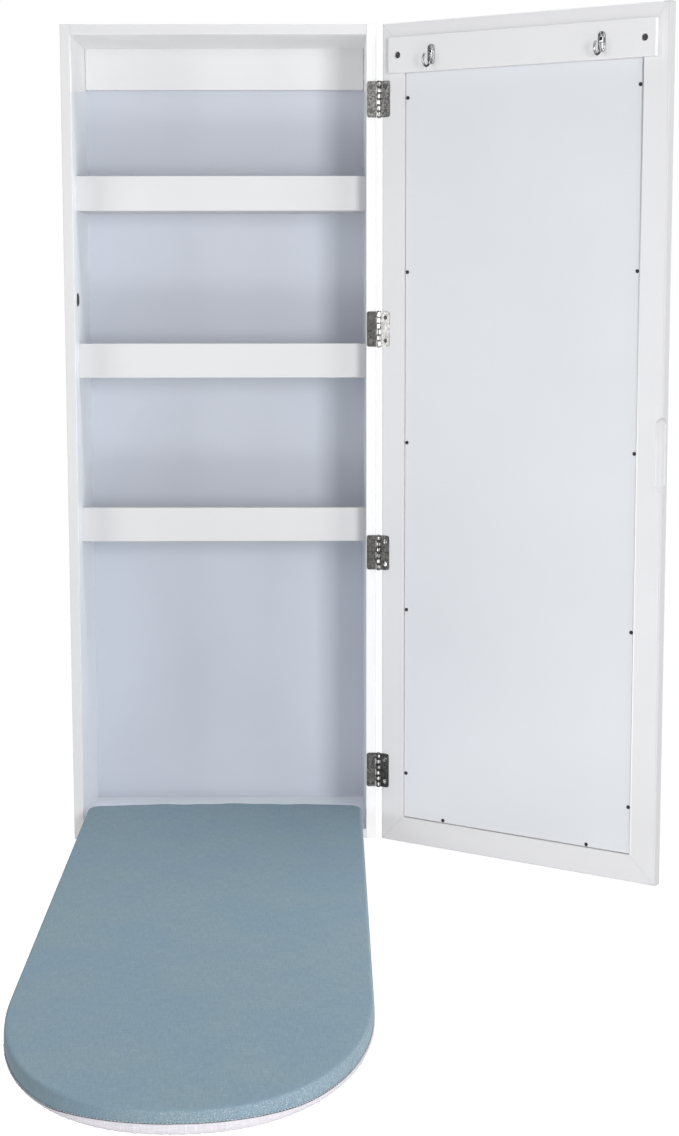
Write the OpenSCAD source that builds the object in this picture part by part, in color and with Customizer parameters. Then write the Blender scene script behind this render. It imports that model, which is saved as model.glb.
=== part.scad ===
// Wall cabinet with a mirrored door and a fold-down ironing board.
// The bench frame has x = 0 in the middle, y = 0 at the cabinet's front edges and z = 0 at its
// bottom.  Every piece is then moved so that the origin lies on the wall, midway between the
// entry holes of the two keyhole hangers.

/* [Cabinet] */
// Width of the cabinet and of its door
cab_w = 381; // [340:1:430]
// Height of the cabinet and of its door
cab_h = 1006; // [960:1:1080]
// Depth of the cabinet, from its front edges to the wall
cab_d = 175; // [150:1:220]
// Thickness of the two side panels
side_t = 12; // [11:0.5:18]
// Thickness of the top panel
top_t = 12; // [12:0.5:18]
// Thickness of the bottom panel
bottom_t = 12; // [12:0.5:18]
// Thickness of the back panel
back_t = 3; // [2.5:0.5:4]
// Width of the rebate that takes the edge of the back panel
rebate_w = 6; // [5:0.5:7]
// Radius of the eased arrises on the painted boards
ease_r = 0.8; // [0.4:0.1:1.5]

/* [Shelves] */
// Thickness of the shelves
shelf_t = 10; // [8:0.5:15]
// Clear height of the bay under the lowest shelf
lower_bay_h = 362.5; // [320:0.5:380]
// Distance from one shelf to the next
shelf_pitch = 205.5; // [180:0.5:215]
// Height of the lip along the front of each shelf
lip_h = 42.5; // [25:0.5:60]
// Thickness of the shelf lips
lip_t = 10; // [8:0.5:15]
// Space between the folded board and the shelf lips
lip_gap = 2.4; // [1:0.1:12]

/* [Hanging rail] */
// Height of the rail under the top panel
rail_h = 52; // [50:1:70]
// Thickness of the rail
rail_t = 12; // [11:0.5:18]
// Gap between each end of the rail and its side panel
rail_end_gap = 0.5; // [0.2:0.1:1]
// Radius of the two lower corners of the rail
rail_corner_r = 2.5; // [1:0.5:5]
// Distance from the sides of the cabinet to the middle of the keyhole hangers
hanger_edge = 40.5; // [39:0.5:80]
// Radius of the entry hole of a keyhole hanger
entry_r = 4.5; // [4:0.1:5]
// Radius of the narrow slot of a keyhole hanger
slot_r = 2.3; // [1.8:0.1:2.6]
// Distance from the entry hole up to the end of the slot
slot_rise = 10; // [8:0.5:12]
// Length of a hanger plate
hanger_l = 44; // [42:0.5:46]
// Width of a hanger plate
hanger_w = 16; // [14:0.5:18]
// Thickness of a hanger plate
hanger_t = 1.5; // [1:0.1:2]
// Depth of the pocket behind each keyhole, for the head of the wall screw
pocket_d = 8; // [5:0.5:9]

/* [Dowels] */
// Radius of the dowels at the corners of the cabinet
corner_dowel_r = 4; // [3:0.5:4.5]
// Radius of the dowels of the shelves and the rail
small_dowel_r = 3; // [2:0.5:3.5]
// Depth of the dowel holes in the side panels
dowel_side_d = 8; // [6:0.5:9]
// Depth of the dowel holes in the ends of the other boards
dowel_end_d = 18; // [12:0.5:24]
// Distance from the front and the back of a board to its dowels
dowel_inset = 34; // [28:1:40]

/* [Door] */
// Thickness of the door frame
door_t = 15; // [15:0.5:19]
// Gap between the closed door and the cabinet
door_gap = 3; // [3:0.1:4]
// Angle of the open door, where 0 is closed
door_open = 145; // [90:1:180]
// Width of the door frame, seen from the front
frame_w = 45; // [43:0.5:60]
// Width of the rebate that takes the door's back panel
back_rebate_w = 12.5; // [12:0.5:13]
// Radius of the eased arrises of the door frame
door_ease_r = 2.2; // [0.5:0.1:2.5]
// Thickness of the lip that holds the mirror
lip_front_t = 6; // [5:0.1:6.5]
// Width of the bevel round the mirror
bevel_w = 4; // [1:0.5:5]
// Thickness of the mirror glass
glass_t = 3; // [2:0.1:3.4]
// Width of the edge of the mirror that the frame covers
glass_lap = 5.5; // [4:0.1:6]
// Thickness of the foam sheet behind the mirror
liner_t = 1; // [0.5:0.1:1.4]
// Thickness of the door's back panel
door_back_t = 3; // [2.5:0.1:3.4]
// Distance from the end of the door to its first back panel screw
back_screw_end = 89; // [70:1:100]
// Distance from the middle of the door to the screws at its bottom and top
back_screw_mid = 100; // [60:1:120]
// Length of the finger pull in the free edge
pull_l = 85; // [60:1:120]
// Radius of the finger pull
pull_r = 8.7; // [6:0.1:10]

/* [Door hinges] */
// Number of hinges on the door
hinge_count = 4; // [4]
// Distance from each end of the door to the middle of its first hinge
hinge_inset = 89; // [70:1:110]
// Length of a hinge
hinge_l = 43; // [38:1:52]
// Number of knuckles of a hinge
knuckle_n = 6; // [6]
// Outer radius of the knuckles
knuckle_r = 2.9; // [2.7:0.1:3]
// Radius of the hinge pin
pin_r = 1.5; // [1.2:0.1:1.6]
// Distance from the side of the cabinet out to the hinge pin
pin_out = 3.4; // [3.4:0.1:4.5]
// Thickness of a hinge leaf
leaf_t = 1.3; // [1:0.1:1.4]
// Distance from the pin to the far edge of a leaf
leaf_reach = 14.6; // [14:0.1:15]
// Radius of the corners of a leaf
leaf_corner_r = 2.8; // [1:0.1:3]
// Distance from the pin to the screws
leaf_screw = 9.6; // [9.4:0.1:9.8]
// Distance between the two screws of a leaf
leaf_screw_gap = 28; // [22:1:30]

/* [Hook rail] */
// Height of the rail that holds the hooks
hook_rail_h = 42; // [34:1:44]
// Thickness of the hook rail
hook_rail_t = 8; // [7:0.5:9]
// Distance from the top of the door down to the hook rail
hook_rail_drop = 18; // [14:1:22]
// Distance from the edges of the door to the ends of the hook rail
hook_rail_end = 14; // [14:0.5:16]
// Distance from the ends of the hook rail to its screws
hook_rail_screw = 13; // [10:0.5:14]
// Radius of the long arrises of the hook rail
hook_rail_ease_r = 1; // [0.5:0.1:2]
// Distance from the hinge edge of the door to the first hook
hook_edge = 75; // [60:1:90]
// Distance from the free edge of the door to the second hook
hook_far_edge = 80; // [60:1:90]
// Thickness of the steel of a hook
hook_t = 1.8; // [1.5:0.1:2.2]
// Width of the strip of a hook
hook_w = 7; // [6:0.5:8]
// Radius of the bend of a hook, at the middle of the steel
hook_bend_r = 7.6; // [6:0.1:8]
// Distance from the screw of a hook down to its bend
hook_drop = 9.5; // [8:0.5:10]

/* [Ironing board] */
// Gap between the board and each side panel
board_side_gap = 5.5; // [4:0.5:12]
// Gap between the folded board and the top panel
board_top_gap = 23; // [15:1:60]
// Thickness of the wooden core of the board
core_t = 12; // [11:0.5:15]
// Thickness of the pad
pad_t = 6; // [4:0.5:8]
// Thickness of the cover
cover_t = 0.8; // [0.6:0.1:1.2]
// Length of the rounded tip of the board
tip_l = 272; // [180:1:300]
// Fullness of the tip: 2 is an ellipse
tip_power = 2.2; // [1.9:0.05:2.6]
// Radius of the two rear corners of the board
rear_r = 15; // [8:0.5:30]
// Radius of the rolled upper edge of the pad
pad_roll = 4; // [2:0.5:4]
// Height of the coloured side of the cover
skirt_h = 11; // [10:0.5:13]
// Width of the gathered hem under the board
hem_w = 25; // [15:1:30]
// Thickness of the gathered hem
hem_t = 1.1; // [0.8:0.1:1.5]
// Angle by which the lowered board droops
board_droop = 1.2; // [0:0.1:3]

/* [Board hinges] */
// Distance from the cabinet's front edges in to the pins of the board hinges
bpin_y = 12.5; // [10:0.5:16]
// Length of a board hinge
bhinge_l = 70; // [60:1:90]
// Distance from the sides of the board to the middle of its hinges
bhinge_edge = 63; // [55:1:80]
// Outer radius of the knuckles
bknuckle_r = 4; // [3.7:0.1:4.2]
// Radius of the pins
bpin_r = 2.5; // [2:0.1:2.7]
// Thickness of the leaves
bleaf_t = 2; // [1.5:0.1:2.2]
// Length of a leaf, from the pin to its far edge
bleaf_reach = 32; // [28:1:40]

/* [Small parts] */
// Radius of the round bumper that steadies the folded board
bumper_r = 8.5; // [6:0.5:9]
// Height of the bumper
bumper_h = 2.6; // [2:0.1:3]
// Height of the bumper above the bottom of the cabinet
bumper_z = 677; // [620:1:720]
// Distance from the middle of a board hinge to the end of the block under the lowered board
rest_end = 45; // [40:1:70]
// Width of the block that the lowered board rests on
rest_w = 7; // [5:0.5:7]

/* [Hidden] */
$fn = 64;

// Clearances
dowel_fit = 0.05;      // round a dowel
dowel_end_gap = 0.5;   // past each end of a dowel
panel_fit = 0.4;       // round the cabinet's back panel, in its rebates
door_panel_fit = 0.9;  // round the door's back panel, in its rebate
glass_fit = 0.3;       // round the mirror
pin_fit = 0.06;        // round a hinge pin, so that it turns
knuckle_gap = 0.2;     // between neighbouring knuckles, for each of them
notch_gap = 0.4;       // between a leaf and its neighbour's knuckles
leaf_floor_gap = 0.5;  // under the knuckles of the board hinges
screw_fit = 0.05;      // round a screw's shank
cover_fit = 0.1;       // between the pad and the cover
rest_gap = 0.4;        // between the lowered board and its block
eps = 0.01;            // how far a cutter runs past a face

// Screws: radius of the head, height of the head, radius of the shank, length
hinge_screw = [2.7, 1.2, 1.5, 12];
bhinge_screw = [3.6, 1.6, 2, 11];
panel_screw = [2.6, 1.3, 1.2, 12];
back_screw = [2.2, 1.1, 1.1, 9.5];
rail_screw = [3.4, 2.2, 1.75, 15];
small_hook_screw = [2.3, 1.2, 1.3, 7.5];
hanger_screw = [3, 1.2, 1.5, 10];
bumper_screw_size = [3.2, 1.4, 1.6, 10];

// Cabinet
inner_w = cab_w - 2 * side_t;
inner_x = inner_w / 2;
side_x = cab_w / 2;
back_y = cab_d - back_t;
ceiling_z = cab_h - top_t;
rail_mid_z = ceiling_z - rail_h / 2;
rail_y = back_y - rail_t;
entry_z = rail_mid_z - slot_rise * 0.4;
hanger_screw_z = hanger_l / 2 - 5;
window_fit = 1;
hanger_gap = cab_w - 2 * hanger_edge;
panel_screw_inset = rebate_w * 0.4;
panel_screw_end = 50;
panel_screw_side = 40;
panel_screw_low = 12;
back_screw_rows = 5;
back_screw_cols = 3;

// Door
pin_x = side_x + pin_out;
pin_y = -door_gap / 2;
door_front_y = -door_gap - door_t;
door_rear_y = -door_gap;
glass_y = door_front_y + lip_front_t;
liner_y = glass_y + glass_t;
door_back_y = liner_y + liner_t;
door_panel_y = door_back_y + door_back_t;
glass_edge = frame_w - glass_lap;
frame_back_w = frame_w - back_rebate_w;
panel_edge = frame_back_w + door_panel_fit;
back_screw_edge = frame_back_w + 3.5;
back_screw_n = 5;
hinge_pitch = (cab_h - 2 * hinge_inset) / (hinge_count - 1);
knuckle_l = hinge_l / knuckle_n;
hook_rail_z = cab_h - hook_rail_drop - hook_rail_h;
hook_rail_mid = hook_rail_z + hook_rail_h / 2;
hook_gap = cab_w - hook_edge - hook_far_edge;
hook_rail_y = door_rear_y + hook_rail_t;
hook_z = hook_rail_mid + 1.5;
hook_plate_r = 4.2;
hook_plate_top = 4;
hook_tip_rise = 3.5;
bore_r = 4;
bore_d = 3;

// Ironing board, in a frame at the pins: y = 0 and z = 0 there, the tip towards -y
bpin_z = bottom_t + bknuckle_r + leaf_floor_gap;
bleaf_z = bpin_z - bottom_t;
bknuckle_n = 5;
bknuckle_l = bhinge_l / bknuckle_n;
bscrew_n = 3;
core_z = bleaf_z;
pad_z = core_z + core_t;
board_top = pad_z + pad_t + cover_fit + cover_t;
board_w = inner_w - 2 * board_side_gap;
bhinge_gap = board_w - 2 * bhinge_edge;
rest_l = bhinge_gap - 2 * rest_end;
board_rear = 1.3;
board_l = ceiling_z - board_top_gap - bpin_z + board_rear;
core_inset = cover_t + 0.4;
pad_inset = cover_t + cover_fit;
skirt_z = board_top - skirt_h;
hem_z = core_z - hem_t - 0.1;
hem_rear = 45;
lip_y = bpin_y + board_top + lip_gap;
bumper_y = bpin_y + (hem_z + board_top) / 2;
roll_steps = 3;
tip_steps = 32;
rear_steps = 5;

// ---------------------------------------------------------------- placing

module in_place() {
    translate([0, -cab_d, -entry_z]) children();
}

module on_door() {
    in_place() translate([pin_x, pin_y, 0]) rotate([0, 0, door_open])
        translate([-pin_x, -pin_y, 0]) children();
}

module on_board() {
    in_place() translate([0, bpin_y, bpin_z]) rotate([board_droop, 0, 0]) children();
}

// A profile drawn in the y-z plane, run along x and centred on it
module along_x(l) {
    translate([-l / 2, 0, 0]) rotate([90, 0, 90]) linear_extrude(l) children();
}

// An outline drawn in the x-z plane, run from y = 0 to y = t
module plate_y(t) {
    translate([0, t, 0]) rotate([90, 0, 0]) linear_extrude(t) children();
}

// ---------------------------------------------------------------- shared forms

// What a round of radius r leaves of the corner at the origin
module corner_waste(r) {
    difference() {
        translate([-1, -1]) square(r + 1);
        translate([r, r]) circle(r);
    }
}

// A rectangle with some corners eased: near left, near right, far right, far left
module eased_rect(w, h, r, c) {
    difference() {
        square([w, h]);
        if (c[0]) corner_waste(r);
        if (c[1]) translate([w, 0]) mirror([1, 0]) corner_waste(r);
        if (c[2]) translate([w, h]) rotate(180) corner_waste(r);
        if (c[3]) translate([0, h]) mirror([0, 1]) corner_waste(r);
    }
}

// A countersunk screw that points down, with the top of its head at z = 0
module flat_screw(s) {
    difference() {
        union() {
            translate([0, 0, -s[1]]) cylinder(h = s[1], r1 = s[2], r2 = s[0]);
            translate([0, 0, -s[3] + s[2]]) cylinder(h = s[3] - s[2], r = s[2]);
            translate([0, 0, -s[3]]) cylinder(h = s[2], r1 = 0.2, r2 = s[2]);
        }
        cross_recess(s);
    }
}

// A screw with a low round head that stands on z = 0
module pan_screw(s) {
    difference() {
        union() {
            cylinder(h = s[1] * 0.5, r = s[0]);
            translate([0, 0, s[1] * 0.5]) cylinder(h = s[1] * 0.5, r1 = s[0], r2 = s[0] * 0.7);
            translate([0, 0, -s[3] + s[2]]) cylinder(h = s[3] - s[2], r = s[2]);
            translate([0, 0, -s[3]]) cylinder(h = s[2], r1 = 0.2, r2 = s[2]);
        }
        translate([0, 0, s[1]]) cross_recess(s);
    }
}

module cross_recess(s) {
    arm = s[0] * 1.1;
    for (a = [0, 90]) rotate(a) translate([-arm / 2, -arm / 8, -s[1] * 0.7])
        cube([arm, arm / 4, s[1]]);
}

// The hole for a countersunk screw
module flat_hole(s) {
    translate([0, 0, -s[1]]) cylinder(h = s[1], r1 = s[2], r2 = s[0]);
    cylinder(h = 1, r = s[0]);
    shank_hole(s);
}

// The hole for a screw's shank only
module shank_hole(s) {
    translate([0, 0, -s[3] - 0.5]) cylinder(h = s[3] + 1, r = s[2] + screw_fit);
}

// ---------------------------------------------------------------- places that repeat

function shelf_z(i) = bottom_t + lower_bay_h + i * shelf_pitch;
function hinge_z(i) = cab_h - hinge_inset - i * hinge_pitch;

// The ends of the corner dowels on one side, where 1 is right and -1 is left
module at_corner_dowels() {
    for (z = [bottom_t / 2, cab_h - top_t / 2])
        for (y = [dowel_inset, back_y - dowel_inset])
            translate([inner_x, y, z]) rotate([0, 90, 0]) children();
}

module at_small_dowels() {
    shelf_front = lip_y + lip_t;
    for (i = [0:2])
        for (y = [shelf_front + dowel_inset * 0.6, back_y - dowel_inset * 0.6])
            translate([inner_x, y, shelf_z(i) + shelf_t / 2]) rotate([0, 90, 0]) children();
    for (z = [-1, 1])
        translate([inner_x, rail_y + rail_t / 2, rail_mid_z + z * rail_h * 0.3])
            rotate([0, 90, 0]) children();
}

// The back panel's screws, seen from behind
module at_back_panel_screws() {
    edge_x = inner_x + panel_screw_inset;
    row_top = rail_mid_z - rail_h / 2 - panel_screw_low;
    row_pitch = (row_top - panel_screw_end) / (back_screw_rows - 1);
    low_z = bottom_t - panel_screw_inset;
    high_z = ceiling_z + panel_screw_inset;
    for (s = [-1, 1])
        for (i = [0:back_screw_rows - 1])
            translate([s * edge_x, cab_d,
                       panel_screw_end + i * row_pitch])
                rotate([-90, 0, 0]) children();
    for (z = [low_z, high_z])
        for (i = [0:back_screw_cols - 1])
            translate([(i / (back_screw_cols - 1) - 0.5) * (inner_w - 2 * panel_screw_side),
                       cab_d, z])
                rotate([-90, 0, 0]) children();
}

module at_hangers() {
    for (s = [-1, 1]) translate([s * hanger_gap / 2, back_y, rail_mid_z]) children();
}

module at_hanger_screws() {
    at_hangers() for (z = [-1, 1]) translate([0, hanger_t, z * hanger_screw_z])
        rotate([-90, 0, 0]) children();
}

// The screws of the cabinet leaves, in the right side's front edge
module at_cabinet_leaf_screws() {
    for (i = [0:hinge_count - 1])
        for (s = [-1, 1])
            translate([pin_x - leaf_screw, -leaf_t, hinge_z(i) + s * leaf_screw_gap / 2])
                rotate([90, 0, 0]) children();
}

// The screws of the door leaves, in the back of the closed door
module at_door_leaf_screws() {
    for (i = [0:hinge_count - 1])
        for (s = [-1, 1])
            translate([pin_x - leaf_screw, door_rear_y + leaf_t,
                       hinge_z(i) + s * leaf_screw_gap / 2])
                rotate([-90, 0, 0]) children();
}

module at_back_screws() {
    for (s = [-1, 1])
        for (i = [0:back_screw_n - 1])
            translate([s * (side_x - back_screw_edge), door_panel_y,
                       back_screw_end + i * (cab_h - 2 * back_screw_end) / (back_screw_n - 1)])
                rotate([-90, 0, 0]) children();
    for (z = [back_screw_edge, cab_h - back_screw_edge])
        for (s = [-1, 1])
            translate([s * back_screw_mid, door_panel_y, z]) rotate([-90, 0, 0]) children();
}

module at_hook_rail_screws() {
    for (s = [-1, 1])
        translate([s * (side_x - hook_rail_end - hook_rail_screw), hook_rail_y - bore_d,
                   hook_rail_mid])
            rotate([-90, 0, 0]) children();
}

module at_hook(i) {
    translate([side_x - hook_edge - i * hook_gap, hook_rail_y, hook_z]) children();
}

module at_board_hinges() {
    for (s = [-1, 1]) translate([s * bhinge_gap / 2, 0, 0]) children();
}

// The screws of a board hinge leaf that lies on z = 0 and reaches towards -y
module at_flap_screws() {
    for (i = [0:bscrew_n - 1])
        translate([(i - (bscrew_n - 1) / 2) * bhinge_l * 0.33,
                   -bleaf_reach + (i == 1 ? 15 : 8), bleaf_z - bleaf_t])
            mirror([0, 0, 1]) children();
}

module at_base_screws() {
    translate([0, bpin_y, bpin_z]) rotate([180, 0, 0]) at_board_hinges() at_flap_screws()
        children();
}

// ---------------------------------------------------------------- cabinet

// The right side panel
module side_blank() {
    difference() {
        translate([inner_x, 0, 0]) linear_extrude(cab_h)
            eased_rect(side_t, cab_d, ease_r, [true, true, false, false]);
        translate([inner_x - eps, back_y, bottom_t - rebate_w])
            cube([rebate_w + eps, back_t + eps, cab_h - bottom_t - top_t + 2 * rebate_w]);
        at_corner_dowels() cylinder(h = dowel_side_d, r = corner_dowel_r + dowel_fit);
        at_small_dowels() cylinder(h = dowel_side_d, r = small_dowel_r + dowel_fit);
        at_back_panel_screws() shank_hole(panel_screw);
    }
}

module side_right() {
    color("whitesmoke") in_place() difference() {
        side_blank();
        at_cabinet_leaf_screws() shank_hole(hinge_screw);
    }
}

module side_left() {
    color("whitesmoke") in_place() difference() {
        mirror([1, 0, 0]) side_blank();
        at_bumper() shank_hole(bumper_screw_size);
    }
}

// The profile of the top panel: front edge at y = 0, underside at z = 0
module end_profile(t) {
    difference() {
        eased_rect(cab_d, t, ease_r, [true, false, false, true]);
        translate([back_y, -eps]) square([back_t + eps, rebate_w + eps]);
    }
}

module end_drillings() {
    for (s = [0, 1]) mirror([s, 0, 0]) at_corner_dowels()
        translate([0, 0, -dowel_end_d]) cylinder(h = dowel_end_d + 1, r = corner_dowel_r + dowel_fit);
    at_back_panel_screws() shank_hole(panel_screw);
}

module top_panel() {
    color("whitesmoke") in_place() difference() {
        translate([0, 0, ceiling_z]) along_x(inner_w) end_profile(top_t);
        end_drillings();
    }
}

module bottom_panel() {
    color("whitesmoke") in_place() difference() {
        translate([0, 0, bottom_t]) mirror([0, 0, 1]) along_x(inner_w) end_profile(bottom_t);
        end_drillings();
        at_base_screws() shank_hole(bhinge_screw);
    }
}

module back_panel() {
    edge = rebate_w - panel_fit;
    color("lightsteelblue") in_place() difference() {
        translate([-inner_x - edge, back_y, bottom_t - edge])
            cube([inner_w + 2 * edge, back_t, ceiling_z - bottom_t + 2 * edge]);
        at_hangers() translate([-hanger_w / 2 - window_fit, -eps, -hanger_l / 2 - window_fit])
            cube([hanger_w + 2 * window_fit, back_t + 2 * eps, hanger_l + 2 * window_fit]);
        at_back_panel_screws() flat_hole(panel_screw);
    }
}

module keyhole(entry, slot) {
    circle(entry);
    translate([-slot, 0]) square([2 * slot, slot_rise]);
    translate([0, slot_rise]) circle(slot);
}

module hanging_rail() {
    l = inner_w - 2 * rail_end_gap;
    color("white") in_place() difference() {
        translate([0, rail_y, rail_mid_z - rail_h / 2]) intersection() {
            along_x(l) eased_rect(rail_t, rail_h, ease_r, [true, false, false, false]);
            translate([-l / 2, -eps, 0]) plate_y(rail_t + 2 * eps)
                eased_rect(l, rail_h, rail_corner_r, [true, true, false, false]);
        }
        at_hangers() translate([0, -pocket_d, entry_z - rail_mid_z])
            plate_y(pocket_d + eps) keyhole(entry_r + 1, entry_r + 0.5);
        at_hanger_screws() shank_hole(hanger_screw);
        for (s = [0, 1]) mirror([s, 0, 0]) at_small_dowels()
            translate([0, 0, -dowel_end_d]) cylinder(h = dowel_end_d + 1, r = small_dowel_r + dowel_fit);
    }
}

module shelf(i) {
    shelf_front = lip_y + lip_t;
    color("white") in_place() difference() {
        translate([-inner_x, shelf_front, shelf_z(i)])
            cube([inner_w, back_y - shelf_front, shelf_t]);
        for (s = [0, 1]) mirror([s, 0, 0]) at_small_dowels()
            translate([0, 0, -dowel_end_d]) cylinder(h = dowel_end_d + 1, r = small_dowel_r + dowel_fit);
    }
}

module lip(i) {
    color("white") in_place() translate([0, lip_y, shelf_z(i)]) along_x(inner_w)
        eased_rect(lip_t, lip_h, ease_r, [true, false, true, true]);
}

module corner_dowels() {
    color("burlywood") in_place() for (s = [0, 1]) mirror([s, 0, 0]) at_corner_dowels()
        dowel(corner_dowel_r);
}

module small_dowels() {
    color("burlywood") in_place() for (s = [0, 1]) mirror([s, 0, 0]) at_small_dowels()
        dowel(small_dowel_r);
}

// A dowel with chamfered ends, from the end grain into the side panel
module dowel(r) {
    l = dowel_end_d + dowel_side_d - 2 * dowel_end_gap;
    chamfer = 0.6;
    translate([0, 0, -dowel_end_d + dowel_end_gap]) rotate_extrude()
        polygon([[0, 0], [r - chamfer, 0], [r, chamfer], [r, l - chamfer], [r - chamfer, l], [0, l]]);
}

module back_panel_screws() {
    color("dimgray") in_place() at_back_panel_screws() flat_screw(panel_screw);
}

module hanger_plates() {
    color("silver") in_place() difference() {
        at_hangers() plate_y(hanger_t) difference() {
            translate([-hanger_w / 2, -hanger_l / 2])
                eased_rect(hanger_w, hanger_l, 3, [true, true, true, true]);
            translate([0, entry_z - rail_mid_z]) keyhole(entry_r, slot_r);
        }
        at_hanger_screws() flat_hole(hanger_screw);
    }
}

module hanger_screws() {
    color("silver") in_place() at_hanger_screws() flat_screw(hanger_screw);
}

// Height of the lowered board's underside over the bench plane at depth y
function underside_z(y) = bpin_z + core_z / cos(board_droop) + (y - bpin_y) * tan(board_droop);

module board_rest() {
    front = ease_r + 0.2;
    color("white") in_place() along_x(rest_l) polygon([
        [front, bottom_t], [front + rest_w, bottom_t],
        [front + rest_w, underside_z(front + rest_w) - rest_gap],
        [front, underside_z(front) - rest_gap]
    ]);
}

module at_bumper() {
    translate([-inner_x + bumper_h, bumper_y, bumper_z]) rotate([0, 90, 0]) children();
}

module board_bumper() {
    color("black") in_place() difference() {
        at_bumper() translate([0, 0, -bumper_h]) rotate_extrude() polygon([
            [0, 0], [bumper_r, 0], [bumper_r, bumper_h * 0.35], [bumper_r * 0.9, bumper_h * 0.75],
            [bumper_r * 0.7, bumper_h * 0.95], [bumper_r * 0.5, bumper_h], [0, bumper_h]
        ]);
        at_bumper() flat_hole(bumper_screw_size);
    }
}

module board_bumper_screw() {
    color("silver") in_place() at_bumper() flat_screw(bumper_screw_size);
}

// ---------------------------------------------------------------- door hinges

// A leaf with the knuckles that have this parity.  It reaches towards -x, and its seat is the
// plane y = door_gap / 2.  The pin is the z axis.
module leaf(parity) {
    root = knuckle_r + notch_gap;
    seat = door_gap / 2;
    difference() {
        union() {
            translate([0, seat - leaf_t, 0]) plate_y(leaf_t)
                translate([-leaf_reach, -hinge_l / 2])
                    eased_rect(leaf_reach - root, hinge_l, leaf_corner_r, [true, false, false, true]);
            for (k = [parity:2:knuckle_n - 1])
                translate([0, 0, hinge_l / 2 - (k + 1) * knuckle_l + knuckle_gap]) {
                    cylinder(h = knuckle_l - 2 * knuckle_gap, r = knuckle_r);
                    translate([-root - 1, seat - leaf_t, 0])
                        cube([root + 1, leaf_t, knuckle_l - 2 * knuckle_gap]);
                }
        }
        cylinder(h = hinge_l + 2, r = pin_r + pin_fit, center = true);
        for (s = [-1, 1]) translate([-leaf_screw, seat - leaf_t, s * leaf_screw_gap / 2])
            rotate([90, 0, 0]) flat_hole(hinge_screw);
    }
}

module cabinet_leaf(i) {
    color("silver") in_place() translate([pin_x, pin_y, hinge_z(i)]) leaf(0);
}

module door_leaf(i) {
    color("silver") on_door() translate([pin_x, pin_y, hinge_z(i)]) mirror([0, 1, 0]) leaf(1);
}

// A pin with a low round head on top and a peened foot
module hinge_pin(i) {
    top = hinge_l / 2 - knuckle_gap;
    foot = -hinge_l / 2 - knuckle_gap;
    head_r = knuckle_r * 0.8;
    color("gainsboro") in_place() translate([pin_x, pin_y, hinge_z(i)]) rotate_extrude() polygon([
        [0, foot - 0.8], [head_r * 0.7, foot - 0.8], [head_r, foot - 0.2], [head_r, foot],
        [pin_r, foot], [pin_r, top], [head_r, top], [head_r, top + 0.5],
        [head_r * 0.6, top + 1.1], [0, top + 1.2]
    ]);
}

module hinge_cabinet_screws() {
    color("gray") in_place() at_cabinet_leaf_screws() flat_screw(hinge_screw);
}

module hinge_door_screws() {
    color("gray") on_door() at_door_leaf_screws() flat_screw(hinge_screw);
}

// ---------------------------------------------------------------- door

// The section of the door frame: x runs from the outer edge to the mirror, y from front to back
module frame_profile() {
    difference() {
        eased_rect(frame_w, door_t, door_ease_r, [true, false, false, true]);
        translate([frame_back_w, lip_front_t + glass_t])
            square([frame_w - frame_back_w + 1, door_t]);
        translate([glass_edge - glass_fit, lip_front_t])
            square([glass_lap + glass_fit + 1, glass_t + 1]);
        polygon([[frame_w - bevel_w, -eps], [frame_w + eps, -eps], [frame_w + eps, bevel_w * 0.75]]);
    }
}

module frame_drillings() {
    at_back_screws() shank_hole(back_screw);
    at_hook_rail_screws() shank_hole(rail_screw);
    at_door_leaf_screws() shank_hole(hinge_screw);
}

// An upright of the frame on the hinge side, with both its mitres
module stile() {
    intersection() {
        translate([side_x, door_front_y, 0]) mirror([1, 0, 0]) linear_extrude(cab_h)
            frame_profile();
        translate([0, door_front_y - 1, 0]) plate_y(door_t + 2) polygon([
            [side_x, 0], [side_x, cab_h], [side_x - frame_w, cab_h - frame_w],
            [side_x - frame_w, frame_w]
        ]);
    }
}

// The lower crosspiece of the frame, with both its mitres
module crosspiece() {
    intersection() {
        translate([0, door_front_y, 0]) along_x(cab_w) mirror([1, -1]) frame_profile();
        translate([0, door_front_y - 1, 0]) plate_y(door_t + 2) polygon([
            [-side_x, 0], [side_x, 0], [side_x - frame_w, frame_w],
            [-side_x + frame_w, frame_w]
        ]);
    }
}

module door_stile_hinge() {
    color("white") on_door() difference() {
        stile();
        frame_drillings();
    }
}

// The free upright, with a scooped finger pull in the arris of its back and its outer edge
module door_stile_free() {
    straight = pull_l - 2 * pull_r;
    color("white") on_door() difference() {
        mirror([1, 0, 0]) stile();
        frame_drillings();
        translate([-side_x, door_rear_y, cab_h / 2]) {
            cylinder(h = straight, r = pull_r, center = true);
            for (s = [-1, 1]) translate([0, 0, s * straight / 2]) sphere(pull_r);
        }
    }
}

module door_rail_bottom() {
    color("white") on_door() difference() {
        crosspiece();
        frame_drillings();
    }
}

module door_rail_top() {
    color("white") on_door() difference() {
        translate([0, 0, cab_h]) mirror([0, 0, 1]) crosspiece();
        frame_drillings();
    }
}

module mirror_glass() {
    color("lightcyan") on_door() translate([-side_x + glass_edge, glass_y, glass_edge])
        cube([cab_w - 2 * glass_edge, glass_t, cab_h - 2 * glass_edge]);
}

// A sheet in the frame's back rebate, with the holes for the back panel's screws
module back_sheet(y, t) {
    difference() {
        translate([-side_x + panel_edge, y, panel_edge])
            cube([cab_w - 2 * panel_edge, t, cab_h - 2 * panel_edge]);
        at_back_screws() shank_hole(back_screw);
    }
}

module mirror_liner() {
    color("gray") on_door() back_sheet(liner_y, liner_t);
}

module door_back_panel() {
    color("lavender") on_door() back_sheet(door_back_y, door_back_t);
}

module door_back_screws() {
    color("black") on_door() at_back_screws() pan_screw(back_screw);
}

// ---------------------------------------------------------------- hook rail

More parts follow.
